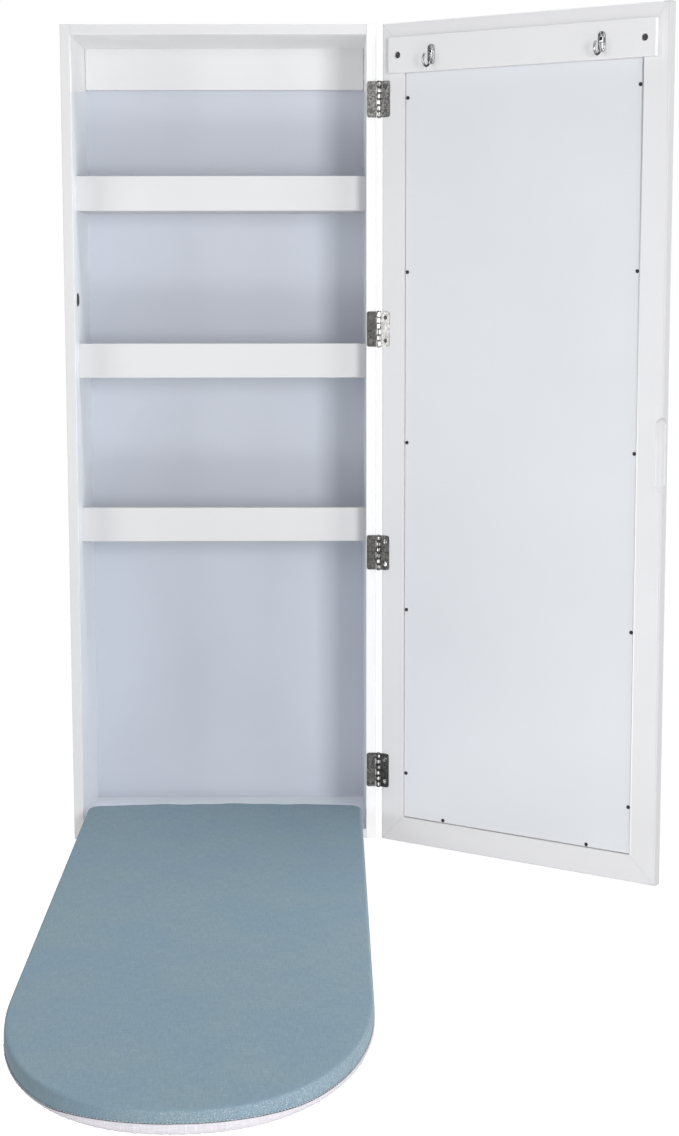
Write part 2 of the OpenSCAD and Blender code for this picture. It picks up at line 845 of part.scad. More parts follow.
module hook_rail() {
    l = cab_w - 2 * hook_rail_end;
    color("white") on_door() difference() {
        translate([0, door_rear_y, hook_rail_z]) along_x(l)
            eased_rect(hook_rail_t, hook_rail_h, hook_rail_ease_r, [false, true, true, false]);
        at_hook_rail_screws() {
            cylinder(h = bore_d + 1, r = bore_r);
            shank_hole(rail_screw);
        }
        for (i = [0, 1]) at_hook(i) rotate([-90, 0, 0]) shank_hole(small_hook_screw);
    }
}

module hook_rail_screws() {
    color("dimgray") on_door() at_hook_rail_screws() pan_screw(rail_screw);
}

// A hook bent from a steel strip.  Its screw is at the origin and its seat is y = 0.
module hook() {
    bend_y = hook_t / 2 + hook_bend_r;
    tip_y = bend_y + hook_bend_r;
    difference() {
        union() {
            plate_y(hook_t) {
                translate([0, hook_plate_top]) circle(hook_plate_r);
                translate([-hook_plate_r, -2]) square([2 * hook_plate_r, hook_plate_top + 2]);
                translate([0, -2]) circle(hook_plate_r);
                translate([-hook_w / 2, -hook_drop]) square([hook_w, hook_drop]);
            }
            along_x(hook_w) difference() {
                translate([bend_y, -hook_drop]) circle(hook_bend_r + hook_t / 2);
                translate([bend_y, -hook_drop]) circle(hook_bend_r - hook_t / 2);
                translate([-1, -hook_drop]) square([tip_y + 5, hook_bend_r * 2]);
            }
            translate([0, tip_y - hook_t / 2, 0]) plate_y(hook_t) {
                translate([-hook_w / 2, -hook_drop]) square([hook_w, hook_tip_rise]);
                translate([0, -hook_drop + hook_tip_rise]) circle(hook_w / 2);
            }
        }
        translate([0, hook_t, 0]) rotate([-90, 0, 0]) shank_hole(small_hook_screw);
    }
}

module placed_hook(i) {
    color("silver") on_door() at_hook(i) hook();
}

module hook_screws() {
    color("gainsboro") on_door() for (i = [0, 1])
        at_hook(i) translate([0, hook_t, 0]) rotate([-90, 0, 0]) pan_screw(small_hook_screw);
}

// ---------------------------------------------------------------- ironing board

function arc(c, r, from, n) = [for (i = [0:n]) let (a = from + 90 * i / n)
    [c[0] + r * cos(a), c[1] + r * sin(a)]];

// The outline of the board, drawn in by d on every side: the tip, then the two rear corners
function board_points(d) =
    let (half = board_w / 2 - d, rear = board_rear - d, r = max(rear_r - d, 1))
    let (tip_start = board_rear - board_l + tip_l, depth = tip_l - d)
    concat(
        [for (i = [0:tip_steps]) let (a = 180 * i / tip_steps)
            [-half * sign(cos(a)) * pow(abs(cos(a)), 2 / tip_power),
             tip_start - depth * pow(sin(a), 2 / tip_power)]],
        arc([half - r, rear - r], r, 0, rear_steps),
        arc([r - half, rear - r], r, 90, rear_steps)
    );

module board_outline(d) {
    polygon(board_points(d));
}

// The rings of a rolled upper edge that ends at height z1, drawn in by d
function rolled_rings(z1, d, roll) = [for (i = [0:roll_steps]) let (a = 90 * i / roll_steps)
    [d + roll * (1 - cos(a)), z1 - roll * (1 - sin(a))]];

// A solid through a list of rings, each given as [distance drawn in, height]
module loft(rings) {
    n = len(board_points(0));
    m = len(rings);
    points = [for (ring = rings) for (p = board_points(ring[0])) [p[0], p[1], ring[1]]];
    sides = [for (j = [0:m - 2]) for (i = [0:n - 1]) let (a = j * n + i, b = j * n + (i + 1) % n)
        each [[a, a + n, b + n], [a, b + n, b]]];
    first = [for (i = [0:n - 1]) i];
    last = [for (i = [0:n - 1]) m * n - 1 - i];
    polyhedron(points, concat([first, last], sides));
}

module board_core() {
    color("tan") on_board() difference() {
        translate([0, 0, core_z]) linear_extrude(core_t) board_outline(core_inset);
        at_board_hinges() at_flap_screws() shank_hole(bhinge_screw);
    }
}

module board_pad() {
    inset = pad_inset + cover_fit;
    color("beige") on_board()
        loft(concat([[inset, pad_z]], rolled_rings(pad_z + pad_t, inset, pad_roll - cover_t)));
}

// The cover: a shell over the pad, from its ceiling down its inner side and up its outer side
module board_cover() {
    ceiling = rolled_rings(board_top - cover_t, pad_inset, pad_roll - cover_t);
    inner = [for (i = [roll_steps:-1:0]) ceiling[i]];
    color("cadetblue") on_board() loft(concat(
        inner, [[pad_inset, skirt_z], [0, skirt_z]], rolled_rings(board_top, 0, pad_roll)
    ));
}

// The gathered hem: round the lower edge of the core and in under it, open at the rear
module cover_hem() {
    color("white") on_board() difference() {
        translate([0, 0, hem_z]) linear_extrude(skirt_z - hem_z) board_outline(0.1);
        translate([0, 0, core_z]) linear_extrude(board_top) board_outline(core_inset - 0.1);
        translate([0, 0, hem_z - 1]) linear_extrude(board_top) board_outline(hem_w);
        translate([-board_w, board_rear - hem_rear, hem_z - 1])
            cube([2 * board_w, hem_rear + 1, board_top]);
    }
}

// ---------------------------------------------------------------- board hinges

// A leaf with the knuckles of this parity.  It reaches towards -y and its seat is z = bleaf_z.
// The pin is the x axis.
module board_leaf(parity) {
    root = bknuckle_r + notch_gap;
    difference() {
        union() {
            translate([-bhinge_l / 2, -bleaf_reach, bleaf_z - bleaf_t]) linear_extrude(bleaf_t)
                eased_rect(bhinge_l, bleaf_reach - root, 4, [true, true, false, false]);
            for (k = [parity:2:bknuckle_n - 1])
                translate([-bhinge_l / 2 + k * bknuckle_l + knuckle_gap, 0, 0]) {
                    rotate([0, 90, 0]) cylinder(h = bknuckle_l - 2 * knuckle_gap, r = bknuckle_r);
                    translate([0, -root - 1, bleaf_z - bleaf_t])
                        cube([bknuckle_l - 2 * knuckle_gap, root + 1, bleaf_t]);
                }
        }
        rotate([0, 90, 0]) cylinder(h = bhinge_l + 2, r = bpin_r + pin_fit, center = true);
        at_flap_screws() flat_hole(bhinge_screw);
    }
}

module board_hinge_flap(s) {
    color("silver") on_board() translate([s * bhinge_gap / 2, 0, 0]) board_leaf(1);
}

module board_hinge_base(s) {
    color("silver") in_place() translate([s * bhinge_gap / 2, bpin_y, bpin_z])
        rotate([180, 0, 0]) board_leaf(0);
}

module board_hinge_pins() {
    l = bhinge_l + 2;
    color("gainsboro") in_place() translate([0, bpin_y, bpin_z]) at_board_hinges()
        rotate([0, 90, 0]) rotate_extrude() polygon([
            [0, -l / 2 - 1], [bpin_r, -l / 2 - 1], [bpin_r + 0.8, -l / 2 - 0.4],
            [bpin_r + 0.8, -bhinge_l / 2 + knuckle_gap], [bpin_r, -bhinge_l / 2 + knuckle_gap],
            [bpin_r, l / 2 - 0.5], [bpin_r - 0.5, l / 2], [0, l / 2]
        ]);
}

module board_hinge_base_screws() {
    color("gray") in_place() at_base_screws() flat_screw(bhinge_screw);
}

module board_hinge_flap_screws() {
    color("gray") on_board() at_board_hinges() at_flap_screws() flat_screw(bhinge_screw);
}

side_left();
side_right();
top_panel();
bottom_panel();
back_panel();
hanging_rail();
shelf(2);  // shelf_upper
shelf(1);  // shelf_middle
shelf(0);  // shelf_lower
lip(2);  // lip_upper
lip(1);  // lip_middle
lip(0);  // lip_lower
corner_dowels();
small_dowels();
back_panel_screws();
hanger_plates();
hanger_screws();
board_rest();
board_bumper();
board_bumper_screw();
board_hinge_base(-1);  // board_hinge_base_left
board_hinge_base(1);  // board_hinge_base_right
board_hinge_pins();
board_hinge_base_screws();
cabinet_leaf(0);  // hinge_1_cabinet_leaf
cabinet_leaf(1);  // hinge_2_cabinet_leaf
cabinet_leaf(2);  // hinge_3_cabinet_leaf
cabinet_leaf(3);  // hinge_4_cabinet_leaf
hinge_pin(0);  // hinge_1_pin
hinge_pin(1);  // hinge_2_pin
hinge_pin(2);  // hinge_3_pin
hinge_pin(3);  // hinge_4_pin
hinge_cabinet_screws();
door_stile_hinge();
door_stile_free();
door_rail_top();
door_rail_bottom();
mirror_glass();
mirror_liner();
door_back_panel();
door_back_screws();
hook_rail();
hook_rail_screws();
placed_hook(0);  // hook_near
placed_hook(1);  // hook_far
hook_screws();
door_leaf(0);  // hinge_1_door_leaf
door_leaf(1);  // hinge_2_door_leaf
door_leaf(2);  // hinge_3_door_leaf
door_leaf(3);  // hinge_4_door_leaf
hinge_door_screws();
board_core();
board_pad();
board_cover();
cover_hem();
board_hinge_flap(-1);  // board_hinge_flap_left
board_hinge_flap(1);  // board_hinge_flap_right
board_hinge_flap_screws();
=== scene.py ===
"""Looks of a wall cabinet with a mirrored door and a fold-down ironing board.

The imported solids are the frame.  They keep their shapes and get painted, plated, glazed and wooden
finishes.  The soft goods of the ironing board and the coat hooks are built here.  Lengths are in
metres.
"""
import logging
import math
import random
from dataclasses import dataclass, field, replace
from enum import Enum
from typing import Callable, ClassVar, Sequence

import bmesh
import bpy
import numpy as np
from mathutils import Matrix, Vector


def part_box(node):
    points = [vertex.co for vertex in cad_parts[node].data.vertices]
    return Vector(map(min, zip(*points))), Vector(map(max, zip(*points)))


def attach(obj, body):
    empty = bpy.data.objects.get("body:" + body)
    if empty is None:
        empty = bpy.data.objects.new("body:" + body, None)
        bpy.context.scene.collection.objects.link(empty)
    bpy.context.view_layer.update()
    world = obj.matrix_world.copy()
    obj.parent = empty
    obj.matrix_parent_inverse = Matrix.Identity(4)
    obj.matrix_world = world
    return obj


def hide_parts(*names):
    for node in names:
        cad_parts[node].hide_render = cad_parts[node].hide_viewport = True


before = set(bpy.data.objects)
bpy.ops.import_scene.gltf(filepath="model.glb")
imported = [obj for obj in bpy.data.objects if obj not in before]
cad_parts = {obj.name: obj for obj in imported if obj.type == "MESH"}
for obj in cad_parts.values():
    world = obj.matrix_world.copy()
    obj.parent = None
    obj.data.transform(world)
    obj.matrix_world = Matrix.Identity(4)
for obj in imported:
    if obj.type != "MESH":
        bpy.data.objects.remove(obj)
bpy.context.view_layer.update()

logging.basicConfig(level=logging.INFO, format="%(name)s: %(message)s")
log = logging.getLogger("ironing_cabinet")

Colour = tuple[float, float, float]
Place = tuple[float, float, float]
Span = tuple[float, float]
Box = tuple[Place, Place]
Socket = bpy.types.NodeSocket
Value = Socket | float | Colour

DOOR_PIN: Span = (0.1939, -0.1765)
DOOR_ANGLE = 145.0
DOOR_BACK: Place = (-0.5736, -0.8192, 0.0)


def shade(colour: Colour, share: float) -> Colour:
    """Returns a colour with a share of its brightness, and no brighter than white."""
    return tuple(min(1.0, part * share) for part in colour)


# ---------------------------------------------------------------- node trees


class Sheet:
    """A node tree with short ways to add and wire its nodes."""

    def __init__(self, tree: bpy.types.NodeTree) -> None:
        """Starts on an existing tree."""
        self.tree = tree

    @classmethod
    def blank(cls, owner: bpy.types.Material | bpy.types.World) -> "Sheet":
        """Empties the node tree of a material or of the surroundings.

        Args:
            owner: The material or the surroundings.

        Returns:
            The sheet of its tree.
        """
        owner.use_nodes = True
        owner.node_tree.nodes.clear()
        return cls(owner.node_tree)

    def fill(self, node: bpy.types.Node, values: dict) -> bpy.types.Node:
        """Sets the inputs of a node.

        Args:
            node: The node.
            values: Input values by name or index; a socket is wired instead.

        Returns:
            The node.
        """
        for key, value in values.items():
            given = node.inputs[key]
            if isinstance(value, Socket):
                self.tree.links.new(value, given)
            else:
                given.default_value = (*value, 1.0) if given.type == "RGBA" else value
        return node

    def add(self, kind: str, values: dict | None = None, **settings: object) -> bpy.types.Node:
        """Adds a node.

        Args:
            kind: Blender's name of the node type.
            values: Input values by name or index; a socket is wired instead.
            settings: Attributes of the node.

        Returns:
            The new node.
        """
        node = self.tree.nodes.new(kind)
        for key, value in settings.items():
            setattr(node, key, value)
        return self.fill(node, values or {})

    def shared(self, group: str, **values: Value) -> bpy.types.NodeOutputs:
        """Places a shared group and returns its outputs."""
        return self.add("ShaderNodeGroup", values, node_tree=SharedGroups.get(group)).outputs

    def math(self, operation: str, *values: Value) -> Socket:
        """Adds a Math node and returns its result."""
        return self.add("ShaderNodeMath", dict(enumerate(values)), operation=operation).outputs[0]

    def times(self, first: Value, second: Value) -> Socket:
        """Returns the product of two numbers."""
        return self.math("MULTIPLY", first, second)

    def plus(self, first: Value, second: Value) -> Socket:
        """Returns the sum of two numbers."""
        return self.math("ADD", first, second)

    def dot(self, first: Value, second: Value) -> Socket:
        """Returns how far two directions agree."""
        return self.add("ShaderNodeVectorMath", {0: first, 1: second},
                        operation="DOT_PRODUCT").outputs["Value"]

    def split(self, vector: Socket) -> tuple[Socket, ...]:
        """Returns the three parts of a vector."""
        return tuple(self.add("ShaderNodeSeparateXYZ", {0: vector}).outputs)

    def blend(self, share: Value, first: Value, second: Value) -> Socket:
        """Mixes two colours, of which the second gets the share."""
        return self.add("ShaderNodeMix", {0: share, 6: first, 7: second},
                        data_type="RGBA").outputs[2]

    def spread(self, value: Value, low: float, high: float, start: Value = 0.0,
               end: Value = 1.0) -> Socket:
        """Maps a value from one range to another, and clamps it.

        Args:
            value: The value.
            low: The result at the start.
            high: The result at the end.
            start: Where the range of the value starts.
            end: Where it ends.

        Returns:
            The result's socket.
        """
        values = {"Value": value, "From Min": start, "From Max": end,
                  "To Min": low, "To Max": high}
        return self.add("ShaderNodeMapRange", values, clamp=True).outputs[0]

    def ramp(self, value: Value, start: Value, end: Value) -> Socket:
        """Returns a mask that is 0 up to the start of a range and 1 from its end."""
        return self.spread(value, 0.0, 1.0, start, end)

    def place(self) -> Socket:
        """Returns the Object coordinates."""
        return self.add("ShaderNodeTexCoord").outputs["Object"]

    def normal(self) -> Socket:
        """Returns the object's own normal."""
        return self.add("ShaderNodeTexCoord").outputs["Normal"]

    def uv(self, name: str) -> Socket:
        """Returns one of the piece's own UV maps."""
        return self.add("ShaderNodeUVMap", uv_map=name).outputs[0]

    def noise(self, place: Socket, scale: Value, detail: float, **more: float) -> Socket:
        """Returns a noise on the given coordinates."""
        values = {"Vector": place, "Scale": scale, "Detail": detail, **more}
        return self.add("ShaderNodeTexNoise", values).outputs[0]

    def fine_noise(self, scale: float, detail: float) -> Socket:
        """Returns a noise on Object coordinates."""
        return self.noise(self.place(), scale, detail)

    def streaks(self, place: Socket, scale: Place, detail: float,
                start: Place = (0.0, 0.0, 0.0), **more: float) -> Socket:
        """Returns a noise that is drawn out along an axis.

        Args:
            place: The coordinates.
            scale: Its scale along each axis.
            detail: Its detail.
            start: Where it starts.
            more: Further inputs of the noise.

        Returns:
            The noise's socket.
        """
        drawn = self.add("ShaderNodeMapping",
                         {"Vector": place, "Scale": scale, "Location": start})
        return self.noise(drawn.outputs[0], 1.0, detail, **more)

    def bump(self, height: Socket, strength: float, depth: float,
             normal: Socket | None = None) -> Socket:
        """Turns a height into a normal.

        Args:
            height: The height's socket.
            strength: How much of the bump shows.
            depth: The height of a full bump.
            normal: The normal that it adds to.

        Returns:
            The new normal's socket.
        """
        values = {"Height": height, "Strength": strength, "Distance": depth}
        if normal is not None:
            values["Normal"] = normal
        return self.add("ShaderNodeBump", values).outputs[0]


class SharedGroups:
    """Shader groups that more than one finish uses, each built once.

    Attributes:
        built: The groups that are built, by name.
    """

    built: ClassVar[dict[str, bpy.types.NodeTree]] = {}

    @classmethod
    def get(cls, name: str) -> bpy.types.NodeTree:
        """Builds a shared group at its first use.

        Args:
            name: The group's name.

        Returns:
            The group's tree.
        """
        if name not in cls.built:
            cls.built[name] = getattr(cls, f"_{name}")()
        return cls.built[name]

    @staticmethod
    def _new(name: str, inputs: dict[str, float | None], *outputs: str
             ) -> tuple[Sheet, bpy.types.NodeOutputs, bpy.types.Node]:
        """Makes an empty group, in which an output named Normal is a vector.

        Args:
            name: The group's name.
            inputs: Its inputs, each with its default number, or with None for a vector.
            outputs: Names of its outputs.

        Returns:
            The sheet, the group input's outputs and the group output node.
        """
        tree = bpy.data.node_groups.new(name, "ShaderNodeTree")
        for label, value in inputs.items():
            kind = "NodeSocketVector" if value is None else "NodeSocketFloat"
            socket = tree.interface.new_socket(name=label, in_out="INPUT", socket_type=kind)
            if value is not None:
                socket.default_value = value
        for label in outputs:
            kind = "NodeSocketVector" if label == "Normal" else "NodeSocketFloat"
            tree.interface.new_socket(name=label, in_out="OUTPUT", socket_type=kind)
        sheet = Sheet(tree)
        return sheet, sheet.add("NodeGroupInput").outputs, sheet.add("NodeGroupOutput")

    @classmethod
    def _soft_edge(cls) -> bpy.types.NodeTree:
        """Makes rounded normals along sharp arrises, and a mask of those arrises.

        Returns:
            The group's tree.
        """
        sheet, given, out = cls._new("soft_edge", {"Radius": 0.0008}, "Normal", "Mask")
        bevel = sheet.add("ShaderNodeBevel", {"Radius": given["Radius"]}, samples=4).outputs[0]
        flat = sheet.dot(bevel, sheet.add("ShaderNodeNewGeometry").outputs["True Normal"])
        sheet.fill(out, {"Normal": bevel, "Mask": sheet.spread(flat, 1.0, 0.0, 0.72, 0.99)})
        return sheet.tree

    @classmethod
    def _mottle(cls) -> bpy.types.NodeTree:
        """Makes a cloudy mask on Object coordinates.

        Returns:
            The group's tree.
        """
        sheet, given, out = cls._new("mottle", {"Scale": 6.0, "Low": 0.35, "High": 0.65}, "Mask")
        cloud = sheet.noise(sheet.place(), given["Scale"], 5.0, Roughness=0.55)
        sheet.fill(out, {"Mask": sheet.ramp(cloud, given["Low"], given["High"])})
        return sheet.tree

    @classmethod
    def _grain(cls) -> bpy.types.NodeTree:
        """Makes wood grain along X of the vector that it is given.

        Returns:
            The group's tree.
        """
        sheet, given, out = cls._new("grain", {"Vector": None}, "Figure", "Pores")
        figure = sheet.streaks(given["Vector"], (2.0, 26.0, 26.0), 4.0, Distortion=0.9)
        pores = sheet.streaks(given["Vector"], (40.0, 900.0, 900.0), 2.0)
        sheet.fill(out, {"Figure": figure, "Pores": sheet.ramp(pores, 0.42, 0.6)})
        return sheet.tree

    @classmethod
    def _weave(cls) -> bpy.types.NodeTree:
        """Makes a plain weave with uneven threads on the piece's own cloth map.

        Returns:
            The group's tree.
        """
        sheet, given, out = cls._new("weave", {"Threads": 900.0, "Unevenness": 0.5},
                                     "Height", "Slub", "Light")
        cloth = sheet.uv("cloth")
        over, under = (
            sheet.math("SINE", sheet.times(sheet.times(part, given["Threads"]), math.pi))
            for part in sheet.split(cloth)[:2])
        height = sheet.plus(sheet.times(sheet.times(over, under), 0.5),
                            sheet.times(sheet.math("ABSOLUTE", sheet.times(over, over)), 0.25))
        fine = [sheet.streaks(cloth, scale, 2.0)
                for scale in ((60.0, 1100.0, 1.0), (1100.0, 60.0, 1.0))]
        slub = sheet.ramp(sheet.times(sheet.plus(*fine), 0.5), 0.38, 0.62)
        thick = [sheet.ramp(sheet.streaks(cloth, scale, 1.0, (3.7, 8.1, 0.0)), 0.6, 0.74)
                 for scale in ((95.0, 800.0, 1.0), (800.0, 95.0, 1.0))]
        uneven = sheet.times(slub, given["Unevenness"])
        sheet.fill(out, {"Height": sheet.plus(height, uneven), "Slub": slub,
                         "Light": sheet.math("MAXIMUM", *thick)})
        return sheet.tree


# ---------------------------------------------------------------- finishes


class LiningAndLight(Enum):
    """What the inner face of a panel gets: a foil lining under a pale band, both toned as painted
    light, or a lighter tone painted as light on the faces that look down or up.
    """

    NONE = "none"
    FOIL_AND_LIGHT = "foil"
    PAINTED_LIGHT_BELOW = "painted_light_below"
    PAINTED_LIGHT_ABOVE = "painted_light_above"


class GrainAxis(Enum):
    """Axis that the grain of a wooden piece follows, as the turn of its coordinates."""

    X = (0.0, 0.0, 0.0)
    Y = (0.0, 0.0, math.pi / 2)


@dataclass(frozen=True)
class Finish:
    """A surface finish, made into one material.

    Attributes:
        name: The material's name.
        colour: Its base colour.
        roughness: Its mean roughness.
        made: The materials that are made, by name.
    """

    name: str
    colour: Colour
    roughness: float
    made: ClassVar[dict[str, bpy.types.Material]] = {}

    def material(self) -> bpy.types.Material:
        """Builds the material at its first use.

        Returns:
            The material.
        """
        if self.name not in Finish.made:
            material = bpy.data.materials.new(self.name)
            material.diffuse_color = (*self.colour, 1.0)
            sheet = Sheet.blank(material)
            shader = sheet.add("ShaderNodeBsdfPrincipled",
                               {"Base Color": self.colour, "Roughness": self.roughness})
            sheet.add("ShaderNodeOutputMaterial", {"Surface": shader.outputs[0]})
            sheet.fill(shader, self.lay(sheet))
            Finish.made[self.name] = material
        return Finish.made[self.name]

    def lay(self, sheet: Sheet) -> dict[str, Value]:
        """Adds the finish's own nodes and returns the shader's inputs."""
        raise NotImplementedError

    def uneven(self, sheet: Sheet, mask: Socket, less: float, more: float) -> Socket:
        """Returns the roughness, made less and more by the middle of a mask."""
        return sheet.spread(mask, self.roughness - less, self.roughness + more, 0.3, 0.7)


@dataclass(frozen=True)
class Paint(Finish):
    """Sprayed satin paint on fibreboard, a little thin and dusty on its arrises.

    Attributes:
        arris: Width of the rubbed arrises.
        arris_tone: Share of its brightness that a rubbed arris keeps.
        arris_tone_share: How strongly the arrises show.
        dim: Share of its brightness that the paint keeps in its clouds.
        peel: Scale of the spray's orange peel.
        lining_and_light: The foil lining and painted light of the inner face.
        foil: Colour of the lining foil, lighter or darker on each side as painted light and shade.
        pale: A lighter tone of the inner faces, painted light.
        lining_x: How far from the cabinet's middle the foil's face lies, at most.
        lining_top: Height of the foil's top at the wall.
        lining_fall: How far its top falls in a metre towards the front.
        front_highlight: Colour of the front edge, a painted highlight, or None.
    """

    arris: float = 0.0007
    arris_tone: float = 0.82
    arris_tone_share: float = 0.22
    dim: float = 0.965
    peel: float = 420.0
    lining_and_light: LiningAndLight = LiningAndLight.NONE
    foil: Colour = (0.85, 0.88, 0.92)
    pale: Colour = (0.9, 0.9, 0.9)
    lining_x: float = 0.1788
    lining_top: float = -0.0225
    lining_fall: float = 0.085
    front_highlight: Colour | None = None

    def line(self, sheet: Sheet, colour: Socket, cloud: Socket) -> Socket:
        """Lays painted light over the paint where the panel faces the inside: a lighter tone on
        faces that look down or up, or on a side a pale upper band over the foil lining.

        Args:
            sheet: The material's sheet.
            colour: The paint's colour.
            cloud: Mask of its faint clouds.

        Returns:
            The colour with its lining and painted light.
        """
        pale = sheet.blend(cloud, shade(self.pale, 0.97), self.pale)
        if self.lining_and_light is not LiningAndLight.FOIL_AND_LIGHT:
            sign = -1.0 if self.lining_and_light is LiningAndLight.PAINTED_LIGHT_BELOW else 1.0
            up = sheet.times(sheet.split(sheet.normal())[2], sign)
            return sheet.blend(sheet.math("GREATER_THAN", up, 0.5), colour, pale)
        x, y, z = sheet.split(sheet.place())
        inner = sheet.math("LESS_THAN", sheet.math("ABSOLUTE", x), self.lining_x)
        height = sheet.math("SUBTRACT", z, sheet.times(y, self.lining_fall))
        low = sheet.math("LESS_THAN", height, self.lining_top)
        foil = sheet.blend(cloud, shade(self.foil, 0.96), self.foil)
        return sheet.blend(inner, colour, sheet.blend(low, pale, foil))

    def lay(self, sheet: Sheet) -> dict[str, Value]:
        """Adds soft arrises, faint clouds, the spray's orange peel, and the painted light of the
        inner faces and the front edge.

        Args:
            sheet: The material's sheet.

        Returns:
            The shader's inputs.
        """
        edge = sheet.shared("soft_edge", Radius=self.arris)
        cloud = sheet.shared("mottle", Scale=7.0, Low=0.3, High=0.7)["Mask"]
        colour = sheet.blend(cloud, shade(self.colour, self.dim), self.colour)
        # Painted light: lighter tones on the inner faces stand in for how light falls inside the
        # cabinet.
        if self.lining_and_light is not LiningAndLight.NONE:
            colour = self.line(sheet, colour, cloud)
        # Painted highlight: the faces that look to the front get a lighter colour.
        if self.front_highlight is not None:
            front = sheet.math("LESS_THAN", sheet.split(sheet.normal())[1], -0.5)
            colour = sheet.blend(front, colour, self.front_highlight)
        colour = sheet.blend(sheet.times(edge["Mask"], self.arris_tone_share),
                             self.paint_shade(sheet, colour), shade(self.colour, self.arris_tone))
        peel = sheet.fine_noise(self.peel, 2.0)
        return {"Base Color": colour,
                "Roughness": self.uneven(sheet, peel, 0.06, 0.08),
                "Normal": sheet.bump(peel, 0.12, 0.00012, edge["Normal"]),
                "Specular IOR Level": 0.42}

    def paint_shade(self, sheet: Sheet, colour: Socket) -> Socket:
        """Returns the colour with its painted shade, of which plain paint has none."""
        return colour


@dataclass(frozen=True)
class DoorPaint(Paint):
    """Paint of the door's frame, with painted shadow in the rebate's gap and painted shade along the
    free edge.

    Attributes:
        edge_shade: Share of its brightness that the free edge keeps, as painted shade.
        edge_shade_x: Where the painted shade starts, with the door closed.
        edge_shade_fade: Width over which it starts.
        bare: Colour of the painted shadow in the rebate's gap.
        lit_gap: Colour of the painted light at the foot of the rebate, which lightens its gap.
        side: Box round the rebate's free side, with the door closed.
        foot: Box round its foot.
        fade: Heights between which the painted shadow gives way to the painted light.
    """

    edge_shade: float = 0.75
    edge_shade_x: float = -0.1815
    edge_shade_fade: float = 0.0012
    bare: Colour = (0.02, 0.017, 0.015)
    lit_gap: Colour = (0.96, 0.96, 0.965)
    side: Box = ((-0.1593, -0.1872, -0.9317), (-0.1568, -0.1775, 0.0097))
    foot: Box = ((-0.1593, -0.1872, -0.9345), (0.16, -0.1797, -0.93))
    fade: Span = (0.1, -0.45)

    def within(self, sheet: Sheet, place: Sequence[Socket], box: Box) -> Value:
        """Tells whether a place lies in a box.

        Args:
            sheet: The material's sheet.
            place: The three parts of the place.
            box: The box's lowest and highest corner.

        Returns:
            1 inside the box and 0 outside it.
        """
        inside = 1.0
        for part, low, high in zip(place, *box):
            inside = sheet.times(inside, sheet.math("GREATER_THAN", part, low))
            inside = sheet.times(inside, sheet.math("LESS_THAN", part, high))
        return inside

    def paint_shade(self, sheet: Sheet, colour: Socket) -> Socket:
        """Paints shade on the free edge and shadow in the rebate's gap, lightened lower down, by
        their places on the closed door.

        Args:
            sheet: The material's sheet.
            colour: The paint's colour.

        Returns:
            The colour with its painted shade and shadow.
        """
        turn = math.radians(-DOOR_ANGLE)
        pin = Vector((*DOOR_PIN, 0.0))
        closed = sheet.add("ShaderNodeMapping",
                           {"Vector": sheet.place(), "Rotation": (0.0, 0.0, turn),
                            "Location": pin - Matrix.Rotation(turn, 3, "Z") @ pin})
        place = sheet.split(closed.outputs[0])
        # Painted shade: the free edge of the door is darkened.
        back = sheet.spread(sheet.dot(sheet.normal(), DOOR_BACK), 1.0, 0.0, 0.97, 0.998)
        edge = sheet.spread(place[0], 1.0, 0.0, self.edge_shade_x - self.edge_shade_fade,
                            self.edge_shade_x)
        colour = sheet.blend(sheet.times(back, edge), colour, shade(self.colour, self.edge_shade))
        # Painted shadow in the rebate's gap, giving way to painted light lower down and at its foot.
        lit_gap_share = sheet.ramp(place[2], *self.fade)
        inside = sheet.math("MAXIMUM", self.within(sheet, place, self.side),
                            self.within(sheet, place, self.foot))
        return sheet.blend(inside, colour, sheet.blend(lit_gap_share, self.bare, self.lit_gap))


@dataclass(frozen=True)
class Foil(Finish):
    """Printed paper foil on one side of a thin board, whose other sides are bare.

    Attributes:
        bare: Colour of the bare board.
        front: Direction that the printed side faces.
        tooth: Scale of the paper's tooth.
        fibre: Scale of the bare board's fibres.
    """

    bare: Colour = (0.33, 0.22, 0.13)
    front: Place = (0.0, -1.0, 0.0)
    tooth: float = 1400.0
    fibre: float = 260.0

    def lay(self, sheet: Sheet) -> dict[str, Value]:
        """Adds the paper's clouds and tooth, and the bare board behind.

        Args:
            sheet: The material's sheet.

        Returns:
            The shader's inputs.
        """
        cloud = sheet.shared("mottle", Scale=4.5, Low=0.32, High=0.68)["Mask"]
        tooth = sheet.fine_noise(self.tooth, 2.0)
        paper = sheet.blend(cloud, shade(self.colour, 0.955), self.colour)
        paper = sheet.blend(sheet.spread(tooth, 0.0, 0.1, 0.35, 0.65), paper,
                            shade(self.colour, 1.12))
        fibre = sheet.ramp(sheet.fine_noise(self.fibre, 6.0), 0.3, 0.7)
        board = sheet.blend(fibre, shade(self.bare, 0.7), self.bare)
        behind = sheet.math("LESS_THAN", sheet.dot(sheet.normal(), self.front), 0.5)
        return {"Base Color": sheet.blend(behind, paper, board),
                "Roughness": self.uneven(sheet, tooth, 0.05, 0.1),
                "Normal": sheet.bump(tooth, 0.18, 0.00008),
                "Specular IOR Level": 0.3}


